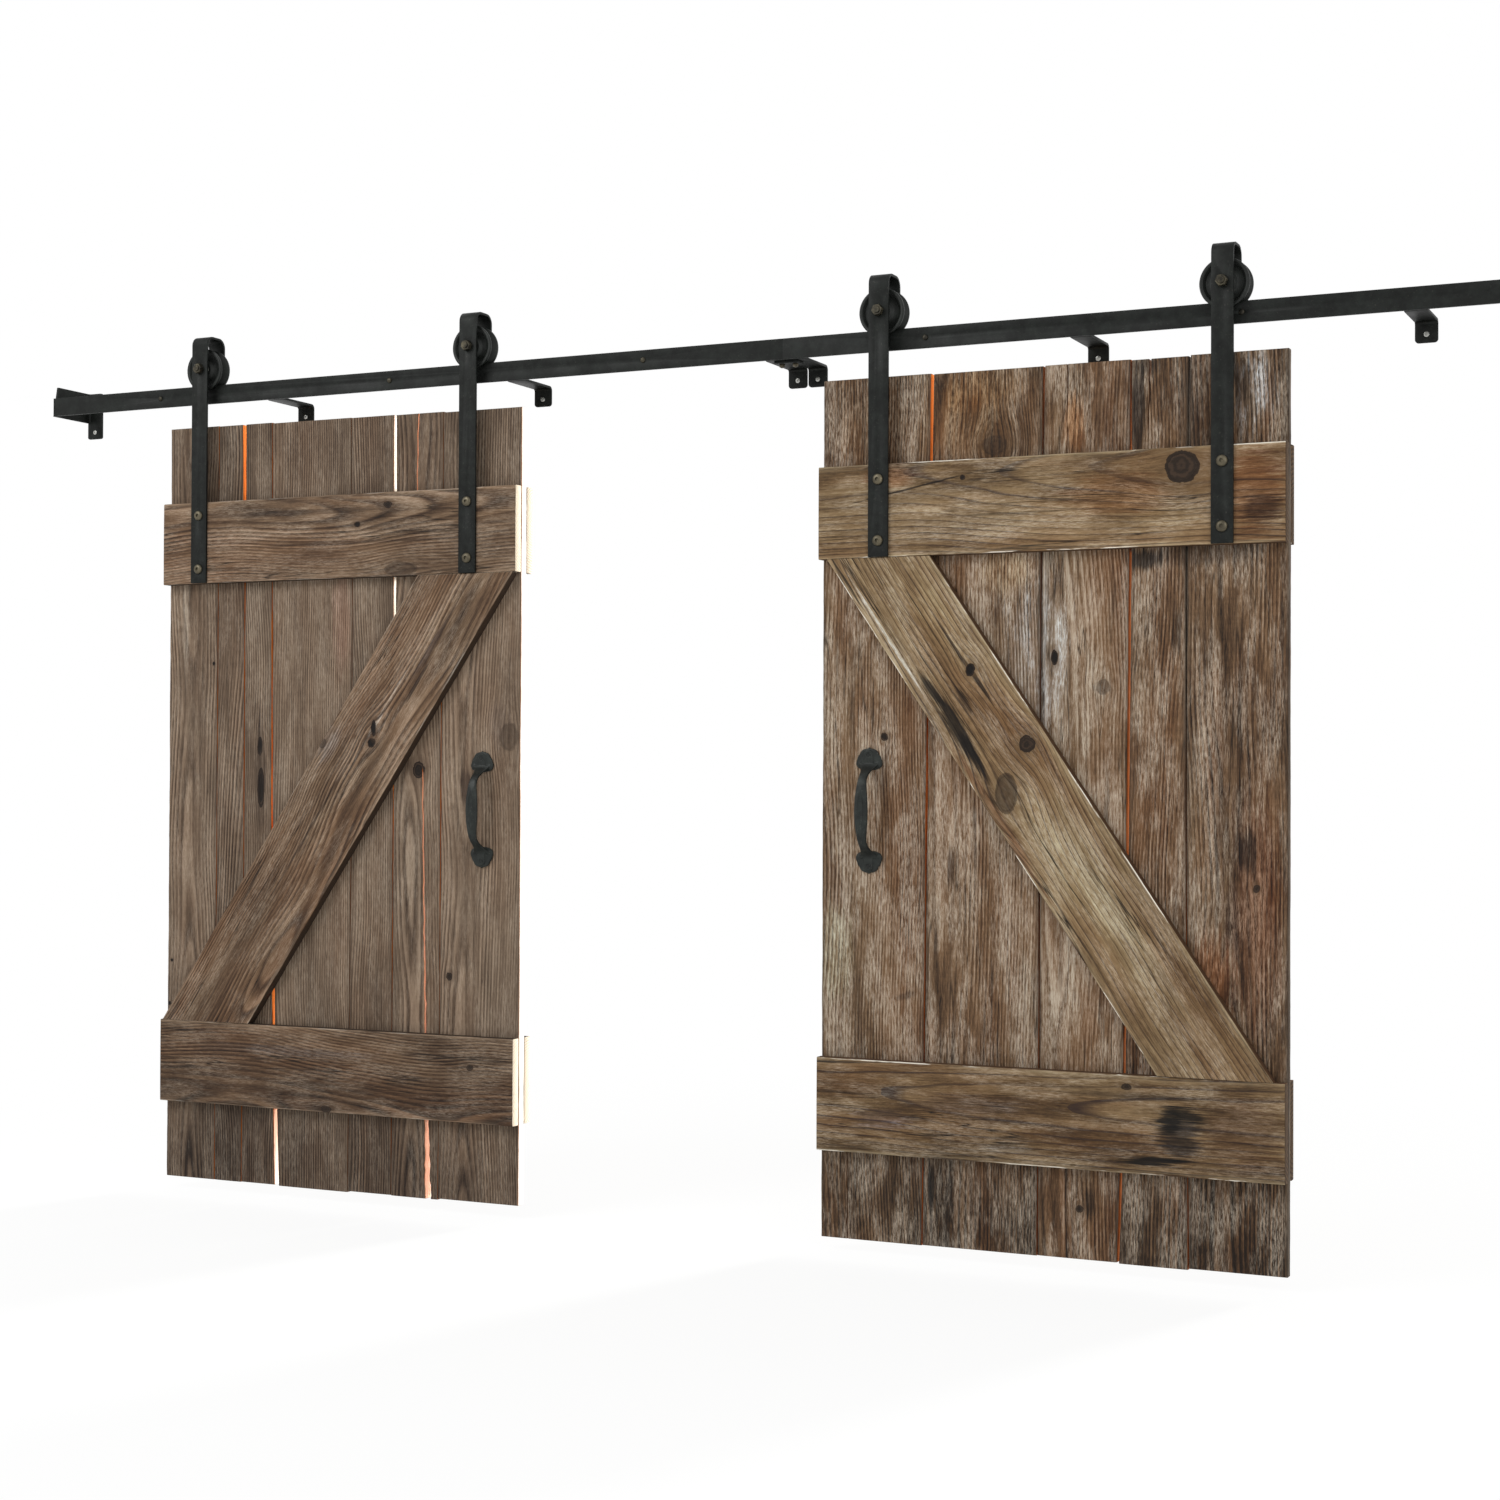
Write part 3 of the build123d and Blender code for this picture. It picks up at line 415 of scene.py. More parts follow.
def board_mesh(label, edges, front, thick, seed, material, knots, tone, glow, split=None, cleft=0.0):
    """A worn board between two long edges, split along its length where split says.

    edges are rows of (x, z) in millimetres, front is its face's distance from the wall, split rows of
    (x, z, width). glow says how fresh the wood of its two long sides is at each row and, past 0.9, how bright a
    painted glow of light from behind is there, cleft that in the split."""
    worn = bpy.context.scene.plank_doors.arris / MM
    back = front - thick
    rng = np.random.default_rng(seed)
    west, east = (np.array(edge, float) for edge in edges)
    along = (west[-1] + east[-1] - west[0] - east[0]) / 2
    length = float(np.hypot(*along))
    along = along / length
    across = np.array([-along[1], along[0]])
    if np.dot(east[0] - west[0], across) < 0:
        across = -across
    # Rows of points, close together at the ends
    marks = np.linspace(0, 1, len(west))
    if len(west) > 2:
        heights = (west[:, 1] + east[:, 1]) / 2
        marks = (heights - heights[0]) / (heights[-1] - heights[0])
    rim = np.array([0.0, 0.7, 1.6, 3.0, 5.5])
    inner = np.linspace(0.0045, 0.9955, max(int(length / ROW_STEP), 12))
    u = np.concatenate([rim[:4] / length, inner, 1 - rim[3::-1] / length])
    reach = u * length
    lines = []
    for k, (line, inward) in enumerate(((west, across), (east, -across))):
        slip = 0.8 * (0.5 + 0.5 * ripple(reach, seed * 7 + k, 600, 18, 9)).clip(0, 1.4)
        lines.append(np.stack([np.interp(u, marks, line[:, i]) + inward[i] * slip for i in (0, 1)], 1))
    opened = np.zeros(len(u))
    parts = [lines]
    if split:
        lips, opened = split_lips(lines, split, reach, seed)
        parts = [(lines[0], lips[0]), (lips[1], lines[1])]
    # Columns of points, close together at the arrises; gap is from the board's sides, loose from the split's
    spots, gap, loose = [], [], []
    for k, (first, last) in enumerate(parts):
        width = np.abs((last - first) @ across)
        mean = width.mean()
        inner = np.linspace(9.0, mean - 9.0, max(int(mean / COLUMN_STEP), 4))
        v = np.concatenate([rim, inner, mean - rim[::-1]]) / mean
        spots.append(first[:, None] * (1 - v[None, :, None]) + last[:, None] * v[None, :, None])
        near, far = v[None] * width[:, None], (1 - v)[None] * width[:, None]
        shut = np.where(opened > 0, 0.0, FAR)[:, None]
        away = np.full_like(near, FAR)
        end = k + 1 == len(parts)
        loose.append(np.minimum(near + shut if k else away, away if end else far + shut))
        gap.append(np.minimum(away if k else near, far if end else away))
    starts = np.cumsum([0] + [piece.shape[1] for piece in spots])
    spots, gap, loose = (np.concatenate(group, 1) for group in (spots, gap, loose))
    count_u, count_v = gap.shape
    ends = np.minimum(u, 1 - u)[:, None] * length * np.ones((1, count_v))
    soft = np.clip(worn * (1 + 0.5 * ripple(reach, seed * 11 + 3, 400, 30, 6))[:, None], 0.6, None)
    drop = worn_round(gap, soft) + worn_round(loose, 1.2)
    tip = worn_round(ends, 1.8)
    t = spots @ across
    s = spots @ along
    share = (t - t.min()) / (t.max() - t.min())
    cup = -0.6 * (2 * share - 1) ** 2
    wave = 0.35 * ripple(reach, seed * 5 + 1, 900, 160, 4)[:, None] - 0.35
    hollow, warp = np.zeros_like(t), np.zeros_like(t)
    for x, z, rx, rz, _, hole in knots:
        kt, ks = np.dot((x, z), across), np.dot((x, z), along)
        rt = abs(rx * across[0]) + abs(rz * across[1])
        rs = abs(rx * along[0]) + abs(rz * along[1])
        near = np.exp(-(((t - kt) / (2.0 * rt)) ** 2) - ((s - ks) / (2.2 * rs + 12)) ** 2)
        warp -= 0.6 * (t - kt) * near
        hollow += hole * 1.2 * np.exp(-(((t - kt) / rt) ** 2) - ((s - ks) / rs) ** 2)
    points = np.empty((2, count_u, count_v, 3))
    points[..., 0] = spots[..., 0]
    points[..., 2] = spots[..., 1]
    points[0, ..., 1] = -np.clip(front - drop - tip + cup + wave - hollow, back + 4, front)
    points[1, ..., 1] = -np.clip(back + 0.6 * drop + tip, back, front - 4)
    # Rows where a split is shut share their points across it
    step = count_u * count_v
    number = np.arange(step).reshape(count_u, count_v)
    if split:
        shut = opened == 0
        number[shut, starts[1]] = number[shut, starts[1] - 1]
    quads = []
    for first, last in zip(starts[:-1], starts[1:]):
        block = number[:, first:last]
        corners = (block[:-1, :-1], block[:-1, 1:], block[1:, 1:], block[1:, :-1])
        quads.append(np.stack(corners, -1).reshape(-1, 4))
    quads = np.concatenate(quads)
    borders = [tuple(e) for q in quads.tolist() for e in zip(q, q[1:] + q[:1])]
    shared = set(borders)
    walls = [(i, j, j + step, i + step) for i, j in borders if (j, i) not in shared]
    faces = quads.tolist() + (quads[:, ::-1] + step).tolist() + walls
    used = np.unique(np.array([i for face in faces for i in face]))
    place = np.full(2 * step, -1)
    place[used] = np.arange(len(used))
    faces = [tuple(place[list(face)]) for face in faces]
    piece = new_object(label, points.reshape(-1, 3)[used] * MM, faces, material)
    recalculate(piece)
    mesh = piece.data
    mesh.set_sharp_from_angle(angle=math.radians(50))
    # What the wood's material reads: places across, through and along each board's own tree, then plain shares
    grain = np.empty((2, count_u, count_v, 3))
    grain[..., 0] = (t - t.mean() + warp) * MM + 0.36 * rng.random() - 0.18
    grain[..., 1] = -points[..., 1] * MM
    grain[..., 2] = s * MM + 9.0 * rng.random()
    mesh.attributes.new("grain", "FLOAT_VECTOR", "POINT").data.foreach_set("vector", grain.reshape(-1, 3)[used].ravel())
    glows = [np.interp(u, np.linspace(0, 1, np.size(g)), np.atleast_1d(g))[:, None] for g in glow]
    side = np.where(gap < 0.35, np.where(share < 0.5, *glows), 0) + np.where(loose < 0.35, cleft, 0)
    # The boards are darker towards the head and foot of the door
    head, foot = (np.exp(-(((points[..., 2] - level) / 330) ** 2)) for level in (LEVELS[0], LEVELS[-1]))
    for title, value in (
        ("tone", tone - (head * 0.16 + foot * 0.3)),
        ("side", np.repeat(side[None], 2, 0)),
        ("sawn", np.repeat((ends < 0.35)[None], 2, 0)),
        ("rub", np.repeat(np.exp(-gap / 5.0)[None], 2, 0)),
    ):
        mesh.attributes.new(title, "FLOAT", "POINT").data.foreach_set("value", value.astype(float).reshape(-1)[used])
    return piece


# Finishes


# How the four groups of boards have weathered, one column for each: their shades, from dark to pale, and the
# share of each layer
GROUPS = ("left_planks", "left_battens", "right_planks", "right_battens")
WEATHER = {
    # Grey barn pine: furry silver-brown fibre over faint rings, still orange where it was covered
    # The same pine, browner and with darker lines, its ends freshly trimmed and pale, near white as a painted glow of
    # light from behind
    # Limewashed barn pine: chalky flakes on the raised grain, red-brown and soot-black patches between them
    # Old joist pine: wide straight dark lines on golden tan, and white paint left along its arrises
    "title": (
        "reclaimed_pine_grey", "reclaimed_pine_grey_ledge", "reclaimed_pine_limed", "reclaimed_pine_limed_ledge",
    ),
    "shades": (
        ("#251b14", "#4d3f33", "#6b5a4a", "#93816e"),
        ("#21170f", "#4b392a", "#725c47", "#a48e77"),
        ("#1e150d", "#503d2b", "#7a6148", "#b0a08c"),
        ("#261a10", "#5c4830", "#887152", "#b8a888"),
    ),
    "seed": (1.0, 4.0, 2.0, 7.0),
    "rings": (150.0, 150.0, 142.0, 95.0),  # to a metre
    "ring": (0.66, 0.52, 0.55, 0.22),  # how pale the late wood is
    "line": (0.1, 0.35, 0.15, 1.0),  # the dark line that ends each ring
    "wave": (0.004, 0.006, 0.005, 0.009),  # of the rings, in metres
    "wander": (0.12, 0.2, 0.12, 0.12),  # of the pith, in metres
    "fibre": (0.8, 0.75, 1.15, 0.85),
    "blotch": (0.75, 0.85, 0.95, 1.05),
    "lime": (0.15, 0.2, 0.5, 0.3),
    "rust": (0.1, 0.2, 0.3, 0.3),
    "soot": (0.2, 0.35, 0.6, 0.3),
    "check": (0.4, 0.9, 0.8, 1.0),
    "warm": (0.25, 0.45, 0.5, 0.5),
    "saw": (0.08, 0.05, 0.1, 0.05),
    "seam_shade": (0.5, 0.0, 0.8, 0.0),  # painted shade along the seams
    "fleck": (0.0, 0.2, 0.0, 1.0),  # white paint on the arrises
    "side": ("#b8651a", "#33261b", "#a8581a", "#4a3320"),
    "ends": (("#251b14", "#6b5a4a"), ("#dcc6a6", "#f1e4d0"), ("#1e150d", "#7a6148"), ("#1e140c", "#4a3826")),
}

# Noise drawn out along the grain: cells per metre across, through and along the board, detail, roughness and
# shift. Real fibres are under a millimetre wide, here they are 2 to 3 mm so that they show.
FIELDS = (
    ("sway", (0.0, 0.0, 0.9), 2.0, 0.5, 3.1),
    ("heart", (0.0, 0.0, 0.55), 2.0, 0.5, 8.7),
    ("bend", (12.0, 10.0, 2.6), 3.0, 0.5, 1.7),
    ("fibre", (420.0, 300.0, 12.0), 4.0, 0.7, 5.3),
    ("streak", (150.0, 90.0, 5.0), 4.0, 0.65, 2.9),
    ("cloud", (9.0, 9.0, 2.6), 4.0, 0.6, 6.1),
    ("patch", (26.0, 20.0, 6.0), 5.0, 0.65, 9.4),
    ("lime", (420.0, 260.0, 50.0), 4.0, 0.75, 12.2),
    ("rust", (15.0, 10.0, 1.8), 5.0, 0.6, 15.8),
    ("soot", (42.0, 30.0, 3.2), 5.0, 0.7, 19.3),
    ("vein", (34.0, 20.0, 1.2), 3.0, 0.5, 23.0),
    ("veins", (12.0, 9.0, 1.9), 2.0, 0.5, 27.0),
    ("hue", (7.0, 5.0, 1.5), 3.0, 0.6, 31.0),
    ("saw", (3.0, 2.0, 150.0), 2.0, 0.6, 35.0),
)


def wood(key):
    """Reclaimed pine: rings stand proud and pale over darker eroded wood, with drying checks and old limewash."""
    look = {trait: row[GROUPS.index(key)] for trait, row in WEATHER.items()}
    door = key.split("_")[0]
    usual = linear(WEATHER["shades"][GROUPS.index(f"{door}_planks")][2])
    share = [part / whole for part, whole in zip(getattr(bpy.context.scene.plank_doors, f"{door}_wood"), usual)]
    dark, low, mid, pale = (
        tuple(part * whole for part, whole in zip(linear(code), share)) + (1.0,) for code in look["shades"]
    )
    material, tree = new_material(look["title"])
    grain = put(tree, "ShaderNodeAttribute", out="Vector", attribute_name="grain")
    tone, side, sawn, rub = (
        put(tree, "ShaderNodeAttribute", out="Fac", attribute_name=title) for title in ("tone", "side", "sawn", "rub")
    )
    place = put(tree, "ShaderNodeTexCoord", out="Object")
    fields = {}
    for title, scale, detail, rough, shift in FIELDS:
        start = (shift + look["seed"], shift * 0.7, shift * 1.3)
        spot = put(tree, MAPPING, {0: grain, 1: start, 3: scale})
        fields[title] = put(tree, NOISE, {"Vector": spot, "Scale": 1.0, "Detail": detail, "Roughness": rough})
    # The pith wanders along the board, so the rings run as long lines and here and there close into arches
    split = put(tree, "ShaderNodeSeparateXYZ", (grain,)).node.outputs
    wander = look["wander"]
    off = put(tree, TIMES_PLUS, (fields["sway"], wander, -wander / 2))
    lateral = put(tree, ADD, (split[0], off))
    depth = put(tree, TIMES_PLUS, (fields["heart"], 0.16, -0.17))
    depth = put(tree, ADD, (depth, split[1]))
    spot = put(tree, "ShaderNodeCombineXYZ", (lateral, depth))
    reach = put(tree, VECTOR, (spot,), out=1, operation="LENGTH")
    reach = put(tree, TIMES_PLUS, (fields["bend"], look["wave"], reach))
    rings = put(tree, TIMES, (reach, look["rings"]))
    phase = put(tree, MATH, (rings,), operation="FRACT")
    each = put(tree, MATH, (rings,), operation="FLOOR")
    each = put(tree, "ShaderNodeTexWhiteNoise", {"W": each}, noise_dimensions="1D")
    late = put(tree, RAMP, (phase,))
    levels = late.node.color_ramp.elements
    levels[0].color = (0.05, 0.05, 0.05, 1)
    levels[1].color = (0.08, 0.08, 0.08, 1)
    for at, level in ((0.3, 0.5), (0.55, 0.95), (0.78, 1.0), (0.92, 0.4)):
        levels.new(at).color = (level, level, level, 1)
    # One value for how pale the wood is, then its four shades
    clear = put(tree, RANGE, (fields["rust"], 0.36, 0.62, 0.3, 1.1))
    strength = put(tree, RANGE, {0: each, 3: 0.5 * look["ring"], 4: 1.3 * look["ring"]})
    strength = put(tree, TIMES, (strength, clear))
    value = put(tree, ADD, (late, -0.5))
    value = put(tree, TIMES_PLUS, (value, strength, tone))
    for title, weight in (
        ("fibre", 0.7 * look["fibre"]),
        ("streak", 0.5 * look["fibre"]),
        ("lime", 0.8 * look["fibre"]),
        ("patch", 0.5 * look["blotch"]),
        ("cloud", 0.7 * look["blotch"]),
        ("saw", look["saw"]),
    ):
        extra = put(tree, ADD, (fields[title], -0.5))
        value = put(tree, TIMES_PLUS, (extra, weight, value))
    base = put(tree, RAMP, (value,))
    shades = base.node.color_ramp.elements
    shades[0].position, shades[0].color = 0.08, dark
    shades[1].position, shades[1].color = 0.98, pale
    shades.new(0.34).color = low
    shades.new(0.62).color = mid
    # Each layer: its noise, where it starts and is full, its share, what it keeps to, its colour and blend
    flake = put(tree, RANGE, (fields["lime"], 0.42, 0.64))
    where = put(tree, RANGE, (fields["veins"], 0.5, 0.58))
    crack = put(tree, ADD, (fields["vein"], -0.5))
    crack = put(tree, MATH, (crack,), operation="ABSOLUTE")
    for noise, start, full, most, mask, colour, kind in (
        (fields["hue"], 0.42, 0.68, look["warm"], None, "#c08848", "MULTIPLY"),
        (fields["hue"], 0.52, 0.3, 0.35, None, "#a79f9c", "MULTIPLY"),
        (fields["rust"], 0.5, 0.68, look["rust"], None, "#9c5a30", "MULTIPLY"),
        (phase, 0.8, 0.93, look["line"], clear, "#34261f", "MIX"),
        (fields["patch"], 0.44, 0.6, look["lime"], flake, "#cfc4b3", "MIX"),
        (fields["soot"], 0.56, 0.72, look["soot"], None, "#2a1f19", "MIX"),
        # Drying checks: the near-black is painted shade inside the cracks
        (crack, 0.012, 0.0, look["check"], where, "#17100b", "MIX"),
    ):
        amount = put(tree, RANGE, (noise, start, full, 0.0, most))
        if mask is not None:
            amount = put(tree, TIMES, (amount, mask))
        base = put(tree, MIX, {0: amount, 6: base, 7: linear(colour)}, blend_type=kind, **COLOUR)
    relief = put(tree, TIMES_PLUS, (late, 0.5, fields["fibre"]))
    relief = put(tree, TIMES_PLUS, (amount, -2.0, relief))
    for x, z, long, short, turn, colour, most in MARKS[key]:
        spot = put(
            tree,
            MAPPING,
            (place, (x * MM, 0, z * MM), (0, -math.radians(turn), 0), (long * MM, FAR, short * MM)),
            vector_type="TEXTURE",
        )
        far = put(tree, VECTOR, (spot,), out=1, operation="LENGTH")
        ragged = put(tree, TIMES_PLUS, (fields["streak"], 1.8, far))
        ragged = put(tree, TIMES_PLUS, (fields["fibre"], 0.9, ragged))
        amount = put(tree, RANGE, (ragged, 2.45, 1.95, 0.0, most))
        # A share of the board's own middle shade, so that the grain still shows through
        tint = tuple(part / whole for part, whole in zip(linear(colour)[:3], mid)) + (1.0,)
        base = put(tree, MIX, {0: amount, 6: base, 7: tint}, blend_type="MULTIPLY", **COLOUR)
    # Painted shade darkens the planks along the seams, rubbed arrises are paler, and some keep flecks of white paint
    seam_shade = put(tree, TIMES, (rub, look["seam_shade"]))
    bare = put(tree, RANGE, (fields["streak"], 0.4, 0.6, 0.0, 0.6 * (1 - look["seam_shade"])))
    bare = put(tree, TIMES, (bare, rub))
    fleck = put(tree, RANGE, (rub, 0.5, 0.75, 0.0, look["fleck"]))
    chip = put(tree, RANGE, (fields["soot"], 0.53, 0.57))
    fleck = put(tree, TIMES, (fleck, chip))
    for amount, colour in ((seam_shade, dark), (bare, pale), (fleck, linear("#e9e2d4"))):
        base = put(tree, MIX, {0: amount, 6: base, 7: colour}, **COLOUR)
    # Knots: a halo of darker wood, a ringed heart with a black lip, and a pit where it has fallen out, its dark painted
    # shade
    wobble = put(tree, NOISE, {"Vector": place, "Scale": 52.0, "Detail": 3.0, "Roughness": 0.6}, out=1)
    wobble = put(tree, VECTOR, (wobble, (0.5, 0.5, 0.5)), operation="SUBTRACT")
    for x, z, rx, rz, depth, hole in KNOTS[key]:
        spot = {0: place, 1: (x * MM, 0, z * MM), 3: (rx * MM, FAR, rz * MM)}
        away = put(tree, MAPPING, spot, vector_type="TEXTURE")
        uneven = min(1.0, 16.0 / max(rx, rz))
        away = put(tree, VECTOR, (wobble, (uneven, 0.0, uneven), away), operation="MULTIPLY_ADD")
        far = put(tree, VECTOR, (away,), out=1, operation="LENGTH")
        halo = put(tree, RANGE, (far, 2.3, 0.9, 0.0, 0.65 * depth))
        core = put(tree, RANGE, (far, 1.08, 0.86, 0.0, 0.28 + 0.66 * depth))
        lip = put(tree, MATH, (far, 0.98, 0.11), operation="COMPARE")
        lip = put(tree, TIMES, (lip, 0.9 * depth))
        eye = put(tree, TIMES, (fields["patch"], 26.0))
        eye = put(tree, TIMES_PLUS, (far, 13.0, eye))
        eye = put(tree, MATH, (eye,), operation="SINE")
        eye = put(tree, RANGE, (eye, -0.7, 0.9))
        heart = put(tree, MIX, {0: eye, 6: linear("#1d1510"), 7: linear("#33261d")}, **COLOUR)
        pit_shade = put(tree, RANGE, {0: far, 1: 0.45 + 0.45 * hole, 2: 0.3 + 0.35 * hole, 4: hole})
        for amount, colour in ((halo, low), (core, heart), (lip, linear("#1c130d")), (pit_shade, linear("#0f0a07"))):
            base = put(tree, MIX, {0: amount, 6: base, 7: colour}, **COLOUR)
        relief = put(tree, TIMES_PLUS, (pit_shade, -4.0, relief))
        relief = put(tree, TIMES_PLUS, (core, -0.4, relief))
    # Sides that were shut in against the next board kept the orange of new pine; past 0.9 the ramp runs on
    # through bright orange to near white in the open seams and splits, a painted glow of light from behind
    fresh_and_glow_share = put(tree, RANGE, (side, 0.1, 0.9))
    fresh_wood_and_glow = put(tree, RAMP, [put(tree, TIMES, (side, 0.5))])
    shades = fresh_wood_and_glow.node.color_ramp.elements
    shades[0].position, shades[0].color = 0.45, linear(look["side"])
    shades[1].position, shades[1].color = 0.95, linear("#fff8ee")
    shades.new(0.72).color = linear("#f09448")
    base = put(tree, MIX, {0: fresh_and_glow_share, 6: base, 7: fresh_wood_and_glow}, **COLOUR)
    # Sawn ends; the left ledges' near-white ends are fresh-cut pine pushed brighter as a painted glow of light from
    # behind
    deep, light = (linear(code) for code in look["ends"])
    cut = put(tree, MIX, {0: late, 6: deep, 7: light}, **COLOUR)
    base = put(tree, MIX, {0: sawn, 6: base, 7: cut}, **COLOUR)
    rough = put(tree, RANGE, (fields["fibre"], 0.2, 0.8, 0.72, 0.94))
    bump = put(tree, "ShaderNodeBump", {"Strength": 0.6, "Distance": 0.0012, "Height": relief})
    coat = {"Base Color": base, "Roughness": rough, "Normal": bump, "Specular IOR Level": 0.25}
    put(tree, "ShaderNodeOutputMaterial", {"Surface": put(tree, "ShaderNodeBsdfPrincipled", coat)})
    return material


# Steels and iron: name, its colour and the colour where it is rubbed, shift of its noise, roughness from and to,
# metallic, how gritty it is and its specular level
STEELS = {
    # Hot-rolled flat bar blackened with wax: nearly black, with a dull broad sheen that shows its flat faces
    "bar": ("blackened_flat_bar", None, "#1f2320", 1.0, 0.45, 0.65, 0.2, 0.6, 0.22),
    # Turned and blackened: the same black, smoother, so the wheels' rims catch a thin line of light
    "wheel": ("blackened_turned_steel", "#151715", "#262a27", 3.0, 0.4, 0.55, 0.25, 0.6, 0.3),
    # Sand-cast iron under satin black paint: soft pebbly glints over the pulls' lobes
    "cast": ("painted_cast_iron", "#191c1a", "#2f3430", 5.0, 0.4, 0.6, 0.25, 1.2, 0.3),
    # Dulled plating: warm grey-brown heads that stand out a little from the black straps
    "bolt": ("dull_plated_bolt_steel", "#4b463a", "#7d745f", 6.0, 0.35, 0.55, 0.75, 0.8, 0.3),
    # Blackened and rubbed by the spanner: dark, with worn warm patches on the corners' faces
    "nut": ("rubbed_black_bolt_steel", "#1f1d18", "#6a6350", 7.0, 0.35, 0.55, 0.6, 1.0, 0.3),
    # Bright turned steel: a small grey glint inside each wheel
    "bearing": ("turned_bearing_steel", "#56564f", "#77766c", 8.0, 0.25, 0.4, 0.9, 0.3, 0.3),
    # Zinc plating: the palest metal here, pale grey dots on the black tabs
    "zinc": ("zinc_plated_screw_steel", "#a9a9a4", "#cfcfca", 9.0, 0.25, 0.4, 0.9, 0.2, 0.3),
}


def steel(key):
    """Steel with clouds of about 25 mm, specks of 4 mm, coarser than real scale so that they show, and dull bands."""
    name, colour, worn, seed, rough_from, rough_to, metallic, grit, shine = STEELS[key]
    material, tree = new_material(name)
    place = put(tree, "ShaderNodeTexCoord", out="Object")
    spot = put(tree, MAPPING, (place, (seed, seed * 0.3, seed * 0.7)))
    cloud = put(tree, NOISE, {"Vector": spot, "Scale": 38.0, "Detail": 5.0, "Roughness": 0.65})
    scale = put(tree, NOISE, {"Vector": spot, "Scale": 240.0, "Detail": 4.0, "Roughness": 0.6})
    broad = put(tree, NOISE, {"Vector": spot, "Scale": 7.0, "Detail": 3.0})
    amount = put(tree, RANGE, (cloud, 0.4, 0.72, 0.0, 0.7))
    plain = linear(colour) if colour else (*bpy.context.scene.plank_doors.steel, 1.0)
    base = put(tree, MIX, {0: amount, 6: plain, 7: linear(worn)}, **COLOUR)
    flecks = put(tree, RANGE, (scale, 0.62, 0.74, 0.0, 0.5 * grit))
    base = put(tree, MIX, {0: flecks, 6: base, 7: linear("#5b5a52")}, **COLOUR)
    sheen = put(tree, RANGE, (broad, 0.35, 0.65, rough_from, rough_to))
    height = put(tree, TIMES_PLUS, (cloud, 0.6, scale))
    bump = put(tree, "ShaderNodeBump", {"Strength": 0.35 * grit, "Distance": 0.0006, "Height": height})
    coat = {"Base Color": base, "Roughness": sheen, "Metallic": metallic, "Normal": bump, "Specular IOR Level": shine}
    put(tree, "ShaderNodeOutputMaterial", {"Surface": put(tree, "ShaderNodeBsdfPrincipled", coat)})
    return material


FINISHES = {}


def finish(name):
    """The material of that name, made when the first piece needs it."""
    if name not in FINISHES:
        FINISHES[name] = wood(name) if name in GROUPS else steel(name)
    return FINISHES[name]


# Repeated fastenings and the cast pulls


def scatter_tree():
    """A node tree that sets a source mesh on every point, each with its own turn, as real geometry."""
    tree = bpy.data.node_groups.new("fastenings_on_points", "GeometryNodeTree")
    keys = {}
    for title, kind, way in (
        ("Points", "Geometry", "INPUT"),
        ("Source", "Object", "INPUT"),
        ("Size", "Float", "INPUT"),
        ("Turn", "Float", "INPUT"),
        ("Finish", "Material", "INPUT"),
        ("Fastenings", "Geometry", "OUTPUT"),
    ):
        keys[title] = tree.interface.new_socket(title, in_out=way, socket_type=f"NodeSocket{kind}").identifier
    entry = put(tree, "NodeGroupInput").node.outputs
    shape = put(tree, "GeometryNodeObjectInfo", {"Object": entry["Source"]}, out="Geometry")
    low = put(tree, TIMES, (entry["Turn"], -1.0))
    roll = put(tree, "FunctionNodeRandomValue", {2: low, 3: entry["Turn"], "Seed": 4}, out=1, data_type="FLOAT")
    angles = put(tree, "ShaderNodeCombineXYZ", {1: roll})
    spread = {"Points": entry["Points"], "Instance": shape, "Rotation": angles, "Scale": entry["Size"]}
    real = put(tree, "GeometryNodeRealizeInstances", (put(tree, "GeometryNodeInstanceOnPoints", spread),))
    done = put(tree, "GeometryNodeSetMaterial", {"Geometry": real, "Material": entry["Finish"]})
    put(tree, "NodeGroupOutput", (done,))
    return tree, keys


def fastenings(name, profile, spots, material, turn, count=48):
    """One mesh with a turned shape set on every spot, each up to turn radians round its axis."""
    source = turned(profile, PROFILES[profile], material, count=count)
    piece = new_object(name, spots, [], material)
    tree, keys = scatter_tree()
    modifier = piece.modifiers.new("fastenings", "NODES")
    modifier.node_group = tree
    for title, value in (("Source", source), ("Size", 1.0), ("Turn", turn), ("Finish", material)):
        modifier[keys[title]] = value
    settle(piece)
    bpy.data.node_groups.remove(tree)
    bpy.data.objects.remove(source)
    return piece


